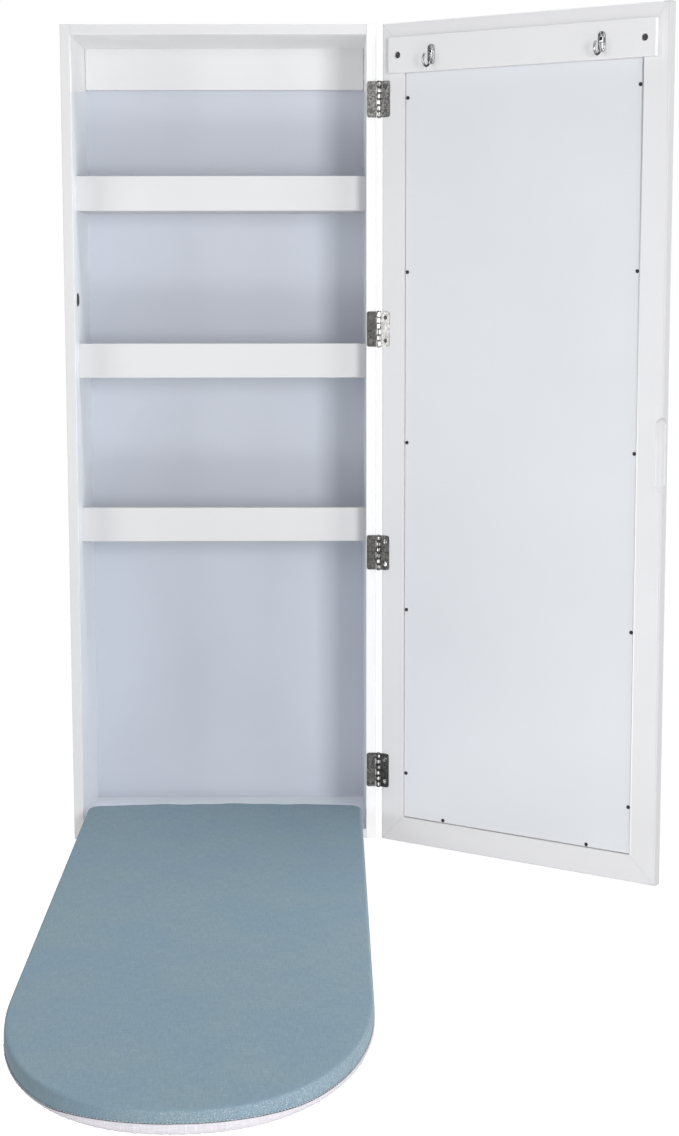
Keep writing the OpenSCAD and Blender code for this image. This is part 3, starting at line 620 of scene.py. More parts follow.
@dataclass(frozen=True)
class Plate(Finish):
    """Bright metal plate with cloudy patches and toned arrises; its near-black patches and dark
    arrises are painted dark reflections, and its bright arrises painted highlights.

    Attributes:
        patch: Colour of the patches, which are painted dark reflections where near-black.
        patch_share: How strongly they show.
        patch_scale: How small they are.
        arris: Width of the rubbed arrises.
        arris_tone: How much brighter the arrises are; brighter ones are painted highlights, darker
            ones painted dark rims.
        arris_tone_share: How strongly they show.
        outline: How dark the metal is where it turns away from the eye, a painted dark reflection.
        turn: Between which turns away from the eye it darkens.
        scratch: Scale of its scratches along each axis.
    """

    patch: Colour = (0.2, 0.2, 0.19)
    patch_share: float = 0.5
    patch_scale: float = 140.0
    arris: float = 0.0003
    arris_tone: float = 1.2
    arris_tone_share: float = 0.6
    outline: float = 0.0
    turn: Span = (0.14, 0.36)
    scratch: Place = (900.0, 900.0, 90.0)

    def accent(self, sheet: Sheet, colour: Socket) -> Socket:
        """Returns the colour with the plate's own marks, of which a plain one has none."""
        return colour

    def lay(self, sheet: Sheet) -> dict[str, Value]:
        """Adds the patches, fine scratches and soft arrises, with their painted highlights and
        painted dark reflections.

        Args:
            sheet: The material's sheet.

        Returns:
            The shader's inputs.
        """
        edge = sheet.shared("soft_edge", Radius=self.arris)
        patch = sheet.shared("mottle", Scale=self.patch_scale, Low=0.36, High=0.62)["Mask"]
        colour = sheet.blend(sheet.times(patch, self.patch_share), self.colour, self.patch)
        colour = sheet.blend(sheet.times(edge["Mask"], self.arris_tone_share),
                             self.accent(sheet, colour), shade(self.colour, self.arris_tone))
        # Painted dark reflection where the metal turns away from the eye.
        if self.outline:
            turned = sheet.add("ShaderNodeLayerWeight", {"Blend": 0.5}).outputs["Facing"]
            colour = sheet.blend(sheet.spread(turned, 0.0, self.outline, *self.turn), colour,
                                 shade(self.colour, 0.08))
        scratch = sheet.streaks(sheet.place(), self.scratch, 3.0)
        rough = sheet.spread(scratch, self.roughness * 0.7, self.roughness * 1.3, 0.35, 0.65)
        return {"Base Color": colour, "Metallic": 1.0,
                "Roughness": sheet.plus(rough, sheet.times(patch, 0.1)),
                "Normal": sheet.bump(scratch, 0.1, 0.00005, edge["Normal"])}


@dataclass(frozen=True)
class LeafPlate(Plate):
    """Plate of a hinge leaf, with painted reflections on its knuckles and painted shadow between
    them.

    Attributes:
        knuckle_reflection: Colour of the knuckles, a painted reflection.
        knuckle_gap_shadow: Colour between them, a painted shadow.
        reach: Radius about the pin that takes in the knuckles.
        foot: Height of the lowest knuckle's end.
        pitch: Length of a knuckle.
        gap: Share of a knuckle's length where the painted shadow starts and ends.
        reflection_streak: Scale of the painted reflection's streaks along each axis.
        reflection_ramp: Where the streaks start and are full.
    """

    knuckle_reflection: Colour = (0.75, 0.75, 0.74)
    knuckle_gap_shadow: Colour = (0.02, 0.02, 0.02)
    reach: float = 0.0031
    foot: float = 0.0
    pitch: float = 0.0071667
    gap: Span = (0.09, 0.2)
    reflection_streak: Place = (700.0, 700.0, 110.0)
    reflection_ramp: Span = (0.4, 0.56)

    def accent(self, sheet: Sheet, colour: Socket) -> Socket:
        """Paints streaked reflections on what lies within reach of the pin, with painted shadow
        between the knuckles.

        Args:
            sheet: The material's sheet.
            colour: The plate's colour.

        Returns:
            The colour with its knuckles.
        """
        place = sheet.split(sheet.place())
        squares = [sheet.times(away, away) for away in (
            sheet.math("SUBTRACT", place[i], DOOR_PIN[i]) for i in (0, 1))]
        radius = sheet.math("SQRT", sheet.plus(*squares))
        # Painted reflection in streaks on the knuckles, and painted shadow between them.
        reflection_streak = sheet.ramp(sheet.streaks(sheet.place(), self.reflection_streak, 1.0), *self.reflection_ramp)
        steel = sheet.blend(reflection_streak, shade(self.knuckle_reflection, 0.2), self.knuckle_reflection)
        run = sheet.math("DIVIDE", sheet.math("SUBTRACT", place[2], self.foot), self.pitch)
        joint = sheet.math("PINGPONG", run, 0.5)
        steel = sheet.blend(sheet.spread(joint, 1.0, 0.0, *self.gap), steel, self.knuckle_gap_shadow)
        return sheet.blend(sheet.math("LESS_THAN", radius, self.reach), colour, steel)


@dataclass(frozen=True)
class EyePlate(Plate):
    """Plate of screw heads with painted shade in the round recess of each.

    Attributes:
        eyes: Middles of the recesses.
        eye_r: Their radius.
        dark: Their colour, a painted shade.
    """

    eyes: tuple[Place, ...] = ()
    eye_r: float = 0.0019
    dark: Colour = (0.004, 0.004, 0.004)

    def accent(self, sheet: Sheet, colour: Socket) -> Socket:
        """Paints shade on what lies within reach of a recess's middle.

        Args:
            sheet: The material's sheet.
            colour: The plate's colour.

        Returns:
            The colour with its recesses.
        """
        for eye in self.eyes:
            away = sheet.add("ShaderNodeVectorMath", {0: sheet.place(), 1: eye},
                             operation="DISTANCE").outputs["Value"]
            colour = sheet.blend(sheet.math("LESS_THAN", away, self.eye_r), colour, self.dark)
        return colour


@dataclass(frozen=True)
class ScrewPlate(Plate):
    """Steel of the hinge screws, with painted glints on those of the lower hinges.

    Attributes:
        painted_glint: Colour of the painted glints.
        below: Height below which the screws get the painted glints.
        glint_scale: Scale of the painted glints.
    """

    painted_glint: Colour = (0.75, 0.75, 0.74)
    below: float = -0.5
    glint_scale: float = 420.0

    def accent(self, sheet: Sheet, colour: Socket) -> Socket:
        """Paints glints on the screws that stand below the height.

        Args:
            sheet: The material's sheet.
            colour: The plate's colour.

        Returns:
            The colour with its painted glints.
        """
        low = sheet.math("LESS_THAN", sheet.split(sheet.place())[2], self.below)
        spot = sheet.ramp(sheet.fine_noise(self.glint_scale, 1.0), 0.46, 0.58)
        return sheet.blend(low, colour, sheet.blend(spot, colour, self.painted_glint))


@dataclass(frozen=True)
class Blacking(Finish):
    """Black oxide or moulded rubber, worn grey on its arrises.

    Attributes:
        metallic: Metallic share, 0 for rubber.
        worn: Colour of the arrises.
        arris: Width of the worn arrises.
        grit: Scale of the grit.
        side_highlight: Colour of the painted highlight on the round side, or None.
    """

    metallic: float = 0.0
    worn: Colour = (0.12, 0.12, 0.12)
    arris: float = 0.0003
    grit: float = 1800.0
    side_highlight: Colour | None = None

    def lay(self, sheet: Sheet) -> dict[str, Value]:
        """Adds worn arrises, a fine grit and the painted highlight.

        Args:
            sheet: The material's sheet.

        Returns:
            The shader's inputs.
        """
        edge = sheet.shared("soft_edge", Radius=self.arris)
        grit = sheet.fine_noise(self.grit, 2.0)
        colour = sheet.blend(edge["Mask"], self.colour, self.worn)
        # Painted highlight on every face but the one that looks into the cabinet.
        if self.side_highlight is not None:
            side = sheet.math("LESS_THAN", sheet.split(sheet.normal())[0], 0.5)
            colour = sheet.blend(side, colour, self.side_highlight)
        return {"Base Color": colour, "Metallic": self.metallic,
                "Roughness": self.uneven(sheet, grit, 0.08, 0.12),
                "Normal": sheet.bump(grit, 0.2, 0.00005, edge["Normal"])}


@dataclass(frozen=True)
class Silvering(Finish):
    """Silvered mirror glass with a faint wiping haze."""

    def lay(self, sheet: Sheet) -> dict[str, Value]:
        """Adds the haze, and a clear coat for the glass.

        Args:
            sheet: The material's sheet.

        Returns:
            The shader's inputs.
        """
        haze = sheet.shared("mottle", Scale=9.0, Low=0.4, High=0.75)["Mask"]
        return {"Base Color": sheet.blend(haze, self.colour, shade(self.colour, 0.98)),
                "Metallic": 1.0, "Coat Weight": 1.0, "Coat Roughness": 0.01,
                "Roughness": sheet.spread(haze, self.roughness, self.roughness + 0.03)}


@dataclass(frozen=True)
class Timber(Finish):
    """Bare wood with its grain along one axis.

    Attributes:
        dark: Colour of its dark figure.
        axis: Axis of the grain.
        arris: Width of its soft arrises.
    """

    dark: Colour = (0.4, 0.26, 0.14)
    axis: GrainAxis = GrainAxis.X
    arris: float = 0.0006

    def lay(self, sheet: Sheet) -> dict[str, Value]:
        """Adds the figure and the pores of the wood.

        Args:
            sheet: The material's sheet.

        Returns:
            The shader's inputs.
        """
        turned = sheet.add("ShaderNodeMapping",
                           {"Vector": sheet.place(), "Rotation": self.axis.value})
        wood = sheet.shared("grain", Vector=turned.outputs[0])
        colour = sheet.blend(sheet.ramp(wood["Figure"], 0.35, 0.65), self.colour, self.dark)
        colour = sheet.blend(sheet.times(wood["Pores"], 0.3), colour, shade(self.dark, 0.7))
        soft = sheet.shared("soft_edge", Radius=self.arris)["Normal"]
        return {"Base Color": colour,
                "Roughness": sheet.spread(wood["Pores"], self.roughness, self.roughness + 0.15),
                "Normal": sheet.bump(wood["Pores"], 0.25, 0.0001, soft)}


@dataclass(frozen=True)
class Cloth(Finish):
    """Woven cloth with uneven threads and slow drifts of colour.

    Attributes:
        drift: The colour that it drifts to.
        threads: Threads in a metre.
        sheen: Weight of the sheen.
        glint: Share of painted glints on the flat.
        roll_glint: Share of painted glints where the cloth rolls over an edge.
        fibre: Colour of the painted glints.
        side_shade: How much darker it is down the side, a painted shade that is strongest on the
            left flank.
        slub_dim: Share of its brightness that a thick thread keeps.
        depth: Height of the weave.
    """

    drift: Colour = (0.3, 0.4, 0.42)
    threads: float = 900.0
    sheen: float = 0.08
    glint: float = 0.0
    roll_glint: float = 0.0
    fibre: Colour = (0.5, 0.55, 0.56)
    side_shade: float = 0.0
    slub_dim: float = 0.78
    depth: float = 0.00025

    def fibres(self, sheet: Sheet) -> Socket:
        """Finds the painted glints, most of them where the cloth rolls over on the right.

        Args:
            sheet: The material's sheet.

        Returns:
            Their mask.
        """
        few = sheet.ramp(sheet.fine_noise(900.0, 1.0), 0.6, 0.75)
        flat = sheet.times(few, self.glint)
        if not self.roll_glint:
            return flat
        fall, side = sheet.split(sheet.uv("edge"))[:2]
        rolled = sheet.times(sheet.ramp(fall, 0.25, 0.5),
                             sheet.spread(side, 0.15, 1.0, -0.55, 0.1))
        many = sheet.ramp(sheet.fine_noise(880.0, 2.0), 0.5, 0.66)
        return sheet.math("MAXIMUM", flat,
                          sheet.times(sheet.times(many, rolled), self.roll_glint))

    def lay(self, sheet: Sheet) -> dict[str, Value]:
        """Adds the weave, the drift of colour, the painted glints and the painted shade down the
        side.

        Args:
            sheet: The material's sheet.

        Returns:
            The shader's inputs.
        """
        weave = sheet.shared("weave", Threads=self.threads, Unevenness=0.6)
        cloud = sheet.shared("mottle", Scale=11.0, Low=0.38, High=0.62)["Mask"]
        colour = sheet.blend(cloud, self.colour, self.drift)
        colour = sheet.blend(sheet.spread(weave["Slub"], 0.0, 0.7), colour,
                             shade(self.colour, self.slub_dim))
        colour = sheet.blend(sheet.times(weave["Light"], 0.5), colour, shade(self.colour, 1.2))
        # Painted highlight: bright glints, most where the cloth rolls over.
        light = self.fibres(sheet)
        colour = sheet.blend(light, colour, self.fibre)
        # Painted shade down the cover's side, most on the left flank.
        if self.side_shade:
            fall, side = sheet.split(sheet.uv("edge"))[:2]
            dim = sheet.times(
                sheet.ramp(fall, 0.2, 0.8),
                sheet.spread(side, self.side_shade, self.side_shade * 0.3, -0.8, 0.6))
            colour = sheet.blend(dim, colour, shade(self.colour, 0.2))
        return {"Base Color": colour,
                "Roughness": sheet.spread(light, self.roughness, self.roughness - 0.3),
                "Normal": sheet.bump(weave["Height"], 0.45, self.depth),
                "Sheen Weight": self.sheen, "Sheen Roughness": 0.4,
                "Specular IOR Level": 0.25}


@dataclass(frozen=True)
class Fleece(Finish):
    """Felt, foam or thread: short matt fibres with no weave.

    Attributes:
        scale: Scale of the fibres.
        depth: Height of their tangle.
    """

    scale: float = 700.0
    depth: float = 0.0004

    def lay(self, sheet: Sheet) -> dict[str, Value]:
        """Adds the tangle of fibres.

        Args:
            sheet: The material's sheet.

        Returns:
            The shader's inputs.
        """
        fibre = sheet.fine_noise(self.scale, 6.0)
        tangle = sheet.ramp(fibre, 0.35, 0.65)
        rough = min(1.0, self.roughness + 0.1)
        return {"Base Color": sheet.blend(tangle, shade(self.colour, 0.8), self.colour),
                "Roughness": sheet.spread(fibre, self.roughness, rough),
                "Normal": sheet.bump(fibre, 0.5, self.depth), "Sheen Weight": 0.2}


WHITE = (0.66, 0.66, 0.67)
CABINET_PAINT = Paint("cabinet_paint", WHITE, 0.42)
# Painted light inside the cabinet: the sides' pale band and light foil, and the lighter ceiling and
# bottom. The right side's darker foil is painted shade.
SIDE_PAINT = Paint("side_paint", WHITE, 0.42, lining_and_light=LiningAndLight.FOIL_AND_LIGHT, pale=(0.96, 0.96, 0.965))
# Painted highlight: the right side's front edge is lighter than its paint.
HINGE_SIDE_PAINT = Paint("hinge_side_paint", WHITE, 0.42, lining_and_light=LiningAndLight.FOIL_AND_LIGHT,
                         foil=(0.66, 0.69, 0.74), front_highlight=(0.82, 0.82, 0.83))
TOP_PAINT = Paint("top_paint", WHITE, 0.42, lining_and_light=LiningAndLight.PAINTED_LIGHT_BELOW,
                  pale=(1.0, 0.99, 0.98))
BOTTOM_PAINT = Paint("bottom_paint", WHITE, 0.42, lining_and_light=LiningAndLight.PAINTED_LIGHT_ABOVE,
                     pale=(0.92, 0.95, 0.98))
# Painted light: the hanging rail is a lighter copy of the cabinet's white paint.
RAIL_PAINT = Paint("rail_paint", (0.79, 0.79, 0.8), 0.4)
# Painted shadow in the rebate's gap, painted light at its foot and painted shade on the free edge.
DOOR_PAINT = DoorPaint("door_paint", (0.73, 0.73, 0.748), 0.42, arris=0.0009)
BACK_FOIL = Foil("back_foil", (0.63, 0.662, 0.732), 0.6)
# Painted light: the hook rail is a lighter copy of the door's paint.
HOOK_RAIL_PAINT = Paint("hook_rail_paint", (0.77, 0.77, 0.785), 0.42, arris=0.0009)
DOOR_BACK_FOIL = Foil("door_back_foil", (0.715, 0.733, 0.768), 0.55, bare=(0.5, 0.48, 0.45),
                      front=DOOR_BACK)
# Painted reflections on the hinges: lighter and darker copies of one nickel, near-black painted
# patches, streaked knuckles and painted shadow between them.
NICKEL_MID_REFLECTION = LeafPlate("nickel_mid_reflection", (0.2, 0.197, 0.19), 0.3, patch=(0.03, 0.03, 0.029),
                        patch_share=0.95, patch_scale=420.0, gap=(0.12, 0.26),
                        reflection_ramp=(0.44, 0.58))
NICKEL_DARK_REFLECTION = LeafPlate("dull_nickel", (0.078, 0.077, 0.075), 0.3,
                        patch=(0.02, 0.02, 0.02), patch_share=0.9, patch_scale=340.0)
NICKEL_LIGHT_REFLECTION = LeafPlate("bright_nickel", (0.45, 0.445, 0.435), 0.25,
                         patch=(0.16, 0.16, 0.155), patch_share=0.7, patch_scale=260.0)
NICKEL_DIM_REFLECTION = replace(NICKEL_DARK_REFLECTION, name="nickel_dim_reflection", colour=(0.1, 0.098, 0.095),
                       gap=(0.16, 0.34), reflection_ramp=(0.46, 0.6), knuckle_reflection=(0.6, 0.6, 0.59))
PIN_STEEL = Plate("pin_steel", (0.3, 0.3, 0.29), 0.25)
# Painted dark reflections on the hooks' chrome: near-black patches, dark arrises and darkening where
# it turns away.
CHROME = Plate("polished_chrome", (0.72, 0.72, 0.73), 0.2, patch=(0.03, 0.03, 0.031),
               patch_share=0.95, patch_scale=300.0, arris=0.0006, arris_tone=0.05, arris_tone_share=1.0,
               outline=1.0)
ZINC = Plate("bright_zinc", (0.5, 0.51, 0.52), 0.3)
# Painted shade in the hook screws' recesses.
HOOK_SCREW = EyePlate("hook_screw", (0.62, 0.62, 0.63), 0.3, patch_share=0.0, arris_tone=0.5)
# Painted highlights on the screws: much brighter arrises ring their heads, and the lower hinges'
# screws get painted glints.
SCREW_STEEL = ScrewPlate("screw_steel", (0.08, 0.078, 0.075), 0.28, patch=(0.02, 0.02, 0.02),
                         patch_scale=300.0, arris_tone=8.0)
DULL_SCREW = Plate("dull_screw", (0.1, 0.097, 0.093), 0.28, patch=(0.03, 0.03, 0.03),
                   patch_scale=300.0, arris_tone=3.0)
DARK_SCREW = Plate("dark_screw", (0.05, 0.049, 0.048), 0.3, patch=(0.012, 0.012, 0.012),
                   patch_scale=300.0, arris_tone=6.0, arris=0.0005)
BLACK_SCREW = Blacking("black_screw", (0.012, 0.012, 0.014), 0.4, metallic=0.6)
# Painted highlight on the bumper's round side.
BLACK_RUBBER = Blacking("black_rubber", (0.015, 0.015, 0.015), 0.65, side_highlight=(0.7, 0.7, 0.7))
MIRROR = Silvering("silvered_glass", (0.9, 0.92, 0.915), 0.008)
BEECH = Timber("beech", (0.62, 0.43, 0.26), 0.55, dark=(0.48, 0.31, 0.17))
BOARD_WOOD = Timber("board_wood", (0.6, 0.44, 0.28), 0.6, dark=(0.44, 0.3, 0.17),
                    axis=GrainAxis.Y)
# Painted glints on the cover's roll and flat, and painted shade down its side.
COVER_CLOTH = Cloth("cover_cloth", (0.199, 0.295, 0.372), 0.72, drift=(0.216, 0.312, 0.35),
                    glint=0.2, roll_glint=0.62, side_shade=0.36)
HEM_CLOTH = Cloth("hem_cloth", (0.64, 0.62, 0.665), 0.8, drift=(0.6, 0.585, 0.63),
                  threads=1400.0)
FELT = Fleece("felt", (0.78, 0.75, 0.68), 0.9)
FOAM = Fleece("foam_sheet", (0.3, 0.3, 0.32), 0.9, scale=1600.0)
THREAD = Fleece("sewing_thread", (0.55, 0.62, 0.66), 0.7, scale=3000.0, depth=0.0001)

Dressing = tuple[tuple[Finish, tuple[str, ...]], ...]


def dress(table: Dressing) -> None:
    """Gives finishes to solids of the frame.

    Args:
        table: Each finish with the names of its solids.
    """
    for finish, nodes in table:
        for name in nodes:
            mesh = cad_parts[name].data
            mesh.materials.clear()
            mesh.materials.append(finish.material())
            log.info("%s: %s", name, finish.name)


# ---------------------------------------------------------------- meshes


def add_object(name: str, data: bpy.types.ID) -> bpy.types.Object:
    """Adds an object at the origin to the scene.

    Args:
        name: Its name.
        data: Its mesh, light or camera.

    Returns:
        The object.
    """
    piece = bpy.data.objects.new(name, data)
    bpy.context.scene.collection.objects.link(piece)
    return piece


def baked(piece: bpy.types.Object) -> bpy.types.Mesh:
    """Returns the plain mesh of an object with its modifiers applied."""
    graph = bpy.context.evaluated_depsgraph_get()
    return bpy.data.meshes.new_from_object(piece.evaluated_get(graph))


def mesh_piece(name: str, points: np.ndarray, faces: list[tuple[int, ...]], finish: Finish,
               **maps: np.ndarray) -> bpy.types.Object:
    """Makes a smooth mesh object at the origin.

    Args:
        name: The piece's name.
        points: Its points, in the row frame.
        faces: Its faces, as tuples of point numbers.
        finish: Its finish.
        maps: Two numbers for each point, for each UV map of that name.

    Returns:
        The object, linked to the scene.
    """
    mesh = bpy.data.meshes.new(name)
    mesh.from_pydata([tuple(p) for p in points], [], faces)
    mesh.polygons.foreach_set("use_smooth", [True] * len(mesh.polygons))
    loops = np.empty(len(mesh.loops), dtype=np.int32)
    mesh.loops.foreach_get("vertex_index", loops)
    for label, values in maps.items():
        layer = mesh.uv_layers.new(name=label)
        layer.data.foreach_set("uv", values[loops].astype(np.float32).ravel())
    mesh.materials.append(finish.material())
    mesh.validate()
    mesh.update()
    return add_object(name, mesh)


def turns(count: int) -> np.ndarray:
    """Returns evenly spaced angles round a circle."""
    return np.arange(count) * (2 * math.pi) / count


def stack(rings: int, count: int, foot: bool = True) -> list[tuple[int, ...]]:
    """Returns the faces of closed rings that follow each other: quads and end caps.

    Args:
        rings: Number of rings.
        count: Points in a ring.
        foot: Whether the first ring is capped as the last one is.

    Returns:
        The faces.
    """
    faces = []
    for start in range(0, (rings - 1) * count, count):
        for i in range(count):
            a, b = start + i, start + (i + 1) % count
            faces.append((a, b, b + count, a + count))
    if foot:
        faces.append(tuple(reversed(range(count))))
    faces.append(tuple(range((rings - 1) * count, rings * count)))
    return faces


def thicken(cloth: bpy.types.Object, thickness: float, offset: float) -> None:
    """Gives a cloth its real thickness.

    Args:
        cloth: The cloth.
        thickness: Its thickness.
        offset: The side that it grows to: -1 inwards and 1 outwards.
    """
    wall = cloth.modifiers.new("cloth", "SOLIDIFY")
    wall.thickness, wall.offset = thickness, offset


# ---------------------------------------------------------------- repeats


@dataclass
class StitchRow:
    """A row of stitches along a path, made by a Geometry Nodes tree.

    Attributes:
        spacing: Distance from one stitch to the next.
        length: Length of a stitch.
        radius: Radius of its thread.
        seed: Seed of its small turns.
        turn: Largest of those turns about each axis, in radians.
        tree: The tree, once it is built.
        sockets: Identifiers of the tree's inputs, by name.
    """

    spacing: float = 0.0034
    length: float = 0.0024
    radius: float = 0.00035
    seed: int = 4
    turn: ClassVar[float] = 0.07
    tree: ClassVar[bpy.types.NodeTree | None] = None
    sockets: ClassVar[dict[str, str]] = {}

    @classmethod
    def build_tree(cls) -> None:
        """Builds the tree once, with its named inputs."""
        tree = bpy.data.node_groups.new("stitch_row", "GeometryNodeTree")
        face = tree.interface
        face.new_socket(name="Path", in_out="INPUT", socket_type="NodeSocketGeometry")
        for label, kind in (("Spacing", "Float"), ("Length", "Float"), ("Radius", "Float"),
                            ("Seed", "Int"), ("Finish", "Material")):
            socket = face.new_socket(name=label, in_out="INPUT",
                                     socket_type=f"NodeSocket{kind}")
            cls.sockets[label] = socket.identifier
        face.new_socket(name="Stitches", in_out="OUTPUT", socket_type="NodeSocketGeometry")
        sheet = Sheet(tree)
        given = sheet.add("NodeGroupInput").outputs
        curve = sheet.add("GeometryNodeMeshToCurve", {"Mesh": given["Path"]})
        points = sheet.add("GeometryNodeCurveToPoints",
                           {"Curve": curve.outputs[0], "Length": given["Spacing"]},
                           mode="LENGTH")
        along = sheet.add("FunctionNodeAlignRotationToVector",
                          {"Vector": points.outputs["Tangent"]}, axis="Z")
        turn = sheet.add("FunctionNodeRandomValue",
                         {0: (-cls.turn,) * 3, 1: (cls.turn,) * 3, "Seed": given["Seed"]},
                         data_type="FLOAT_VECTOR")
        small = sheet.add("FunctionNodeEulerToRotation", {0: turn.outputs[0]})
        mixed = sheet.add("FunctionNodeRotateRotation",
                          {0: along.outputs[0], 1: small.outputs[0]}, rotation_space="LOCAL")
        size = sheet.add("ShaderNodeCombineXYZ", {0: given["Radius"], 1: given["Radius"],
                                                  2: sheet.times(given["Length"], 0.5)})
        ball = sheet.add("GeometryNodeMeshUVSphere",
                         {"Segments": 6, "Rings": 5, "Radius": 1.0})
        thread = sheet.add("GeometryNodeTransform",
                           {"Geometry": ball.outputs[0], "Scale": size.outputs[0]})
        laid = sheet.add("GeometryNodeInstanceOnPoints",
                         {"Points": points.outputs[0], "Instance": thread.outputs[0],
                          "Rotation": mixed.outputs[0]})
        real = sheet.add("GeometryNodeRealizeInstances", {0: laid.outputs[0]})
        smooth = sheet.add("GeometryNodeSetShadeSmooth", {"Geometry": real.outputs[0]})
        painted = sheet.add("GeometryNodeSetMaterial",
                            {"Geometry": smooth.outputs[0], "Material": given["Finish"]})
        sheet.add("NodeGroupOutput", {0: painted.outputs[0]})
        cls.tree = tree

    def sew(self, name: str, path: np.ndarray) -> bpy.types.Object:
        """Sews the row along an open path.

        Args:
            name: The piece's name.
            path: Points of the path, in the row frame.

        Returns:
            One plain mesh object with every stitch.
        """
        if StitchRow.tree is None:
            StitchRow.build_tree()
        mesh = bpy.data.meshes.new(f"{name}_path")
        mesh.from_pydata([tuple(p) for p in path],
                         [(i, i + 1) for i in range(len(path) - 1)], [])
        carrier = add_object(f"{name}_path", mesh)
        modifier = carrier.modifiers.new("stitches", "NODES")
        modifier.node_group = StitchRow.tree
        for label, value in (("Spacing", self.spacing), ("Length", self.length),
                             ("Radius", self.radius), ("Seed", self.seed),
                             ("Finish", THREAD.material())):
            modifier[StitchRow.sockets[label]] = value
        made = baked(carrier)
        carrier.modifiers.clear()
        bpy.data.objects.remove(carrier)
        log.info("%s: %d faces", name, len(made.polygons))
        return add_object(name, made)


# ---------------------------------------------------------------- ironing board


@dataclass
class BoardOutline:
    """The outline of the ironing board in its own plane, tip towards -y.

    Attributes:
        half: Half its width.
        length: Its length.
        rear: How far it reaches behind its hinge pins.
        tip: Length of its rounded tip.
        power: Fullness of the tip.
        corner: Radius of its rear corners.
        count: Points round it.
        tip_samples: Points of the tip before it is sampled evenly.
        corner_samples: Points of a rear corner before that.
        points: Its points.
        normals: Their outward normals.
        run: Their distance along it.
    """

    half: float = 0.173
    length: float = 0.9558
    rear: float = 0.0013
    tip: float = 0.272
    power: float = 2.2
    corner: float = 0.015
    count: int = 900
    tip_samples: int = 400
    corner_samples: int = 24
    points: np.ndarray = field(init=False)
    normals: np.ndarray = field(init=False)
    run: np.ndarray = field(init=False)

    def __post_init__(self) -> None:
        """Samples the outline evenly, with its outward normals and its run."""
        angle = np.linspace(0.0, math.pi, self.tip_samples)
        cosine, sine = np.cos(angle), np.sin(angle)
        start = self.rear - self.length + self.tip
        tip = np.stack([-self.half * np.sign(cosine) * np.abs(cosine) ** (2 / self.power),
                        start - self.tip * np.abs(sine) ** (2 / self.power)], axis=1)
        turn = np.linspace(0.0, math.pi / 2, self.corner_samples)
        near = np.stack([self.half - self.corner + self.corner * np.cos(turn),
                         self.rear - self.corner + self.corner * np.sin(turn)], axis=1)
        far = np.stack([-near[::-1, 0], near[::-1, 1]], axis=1)
        dense = np.concatenate([tip, near, far, tip[:1]])
        steps = np.linalg.norm(np.diff(dense, axis=0), axis=1)
        length = np.concatenate([[0.0], np.cumsum(steps)])
        self.run = np.linspace(0.0, length[-1], self.count, endpoint=False)
        self.points = np.stack([np.interp(self.run, length, dense[:, i]) for i in (0, 1)],
                               axis=1)
        along = np.roll(self.points, -1, axis=0) - np.roll(self.points, 1, axis=0)
        along /= np.linalg.norm(along, axis=1)[:, None]
        self.normals = np.stack([along[:, 1], -along[:, 0]], axis=1)

    @property
    def girth(self) -> float:
        """The distance round the outline."""
        return float(self.run[-1] + self.run[1])

    def ring(self, inset: np.ndarray | float) -> np.ndarray:
        """Returns the outline drawn in by a distance, or by one for each point."""
        return self.points - self.normals * np.reshape(inset, (-1, 1))

    def towards_spine(self, ring: np.ndarray, share: float) -> np.ndarray:
        """Draws a ring in towards the middle line of the board.

        Args:
            ring: The ring's points.
            share: 1 for the ring itself and 0 for the middle line.

        Returns:
            The new ring.
        """
        low = self.rear - self.length + self.half
        spine = np.stack([np.zeros(len(ring)),
                          np.clip(ring[:, 1], low, self.rear - self.half)], axis=1)
        return spine + (ring - spine) * share


@dataclass(frozen=True)
class Gathers:
    """Uneven waves of cloth round the board.

    Attributes:
        shortest: Length of the shortest wave.
        longest: Length of the longest wave.
        seed: Seed of their lengths, heights and places.
        height: How far they stand out at most.
        waves: How many are laid over each other.
    """

    shortest: float
    longest: float
    seed: int
    height: float
    waves: int = 9

    def along(self, outline: BoardOutline) -> np.ndarray:
        """Lays the waves along the outline.

        Args:
            outline: The board's outline.

        Returns:
            Their height at each point, between -1 and 1.
        """
        rng = random.Random(self.seed)
        total = np.zeros_like(outline.run)
        for _ in range(self.waves):
            cycles = round(outline.girth / rng.uniform(self.shortest, self.longest))
            total += rng.uniform(0.5, 1.0) * np.sin(
                2 * math.pi * cycles * outline.run / outline.girth
                + rng.uniform(0, 2 * math.pi))
        return total / np.abs(total).max()


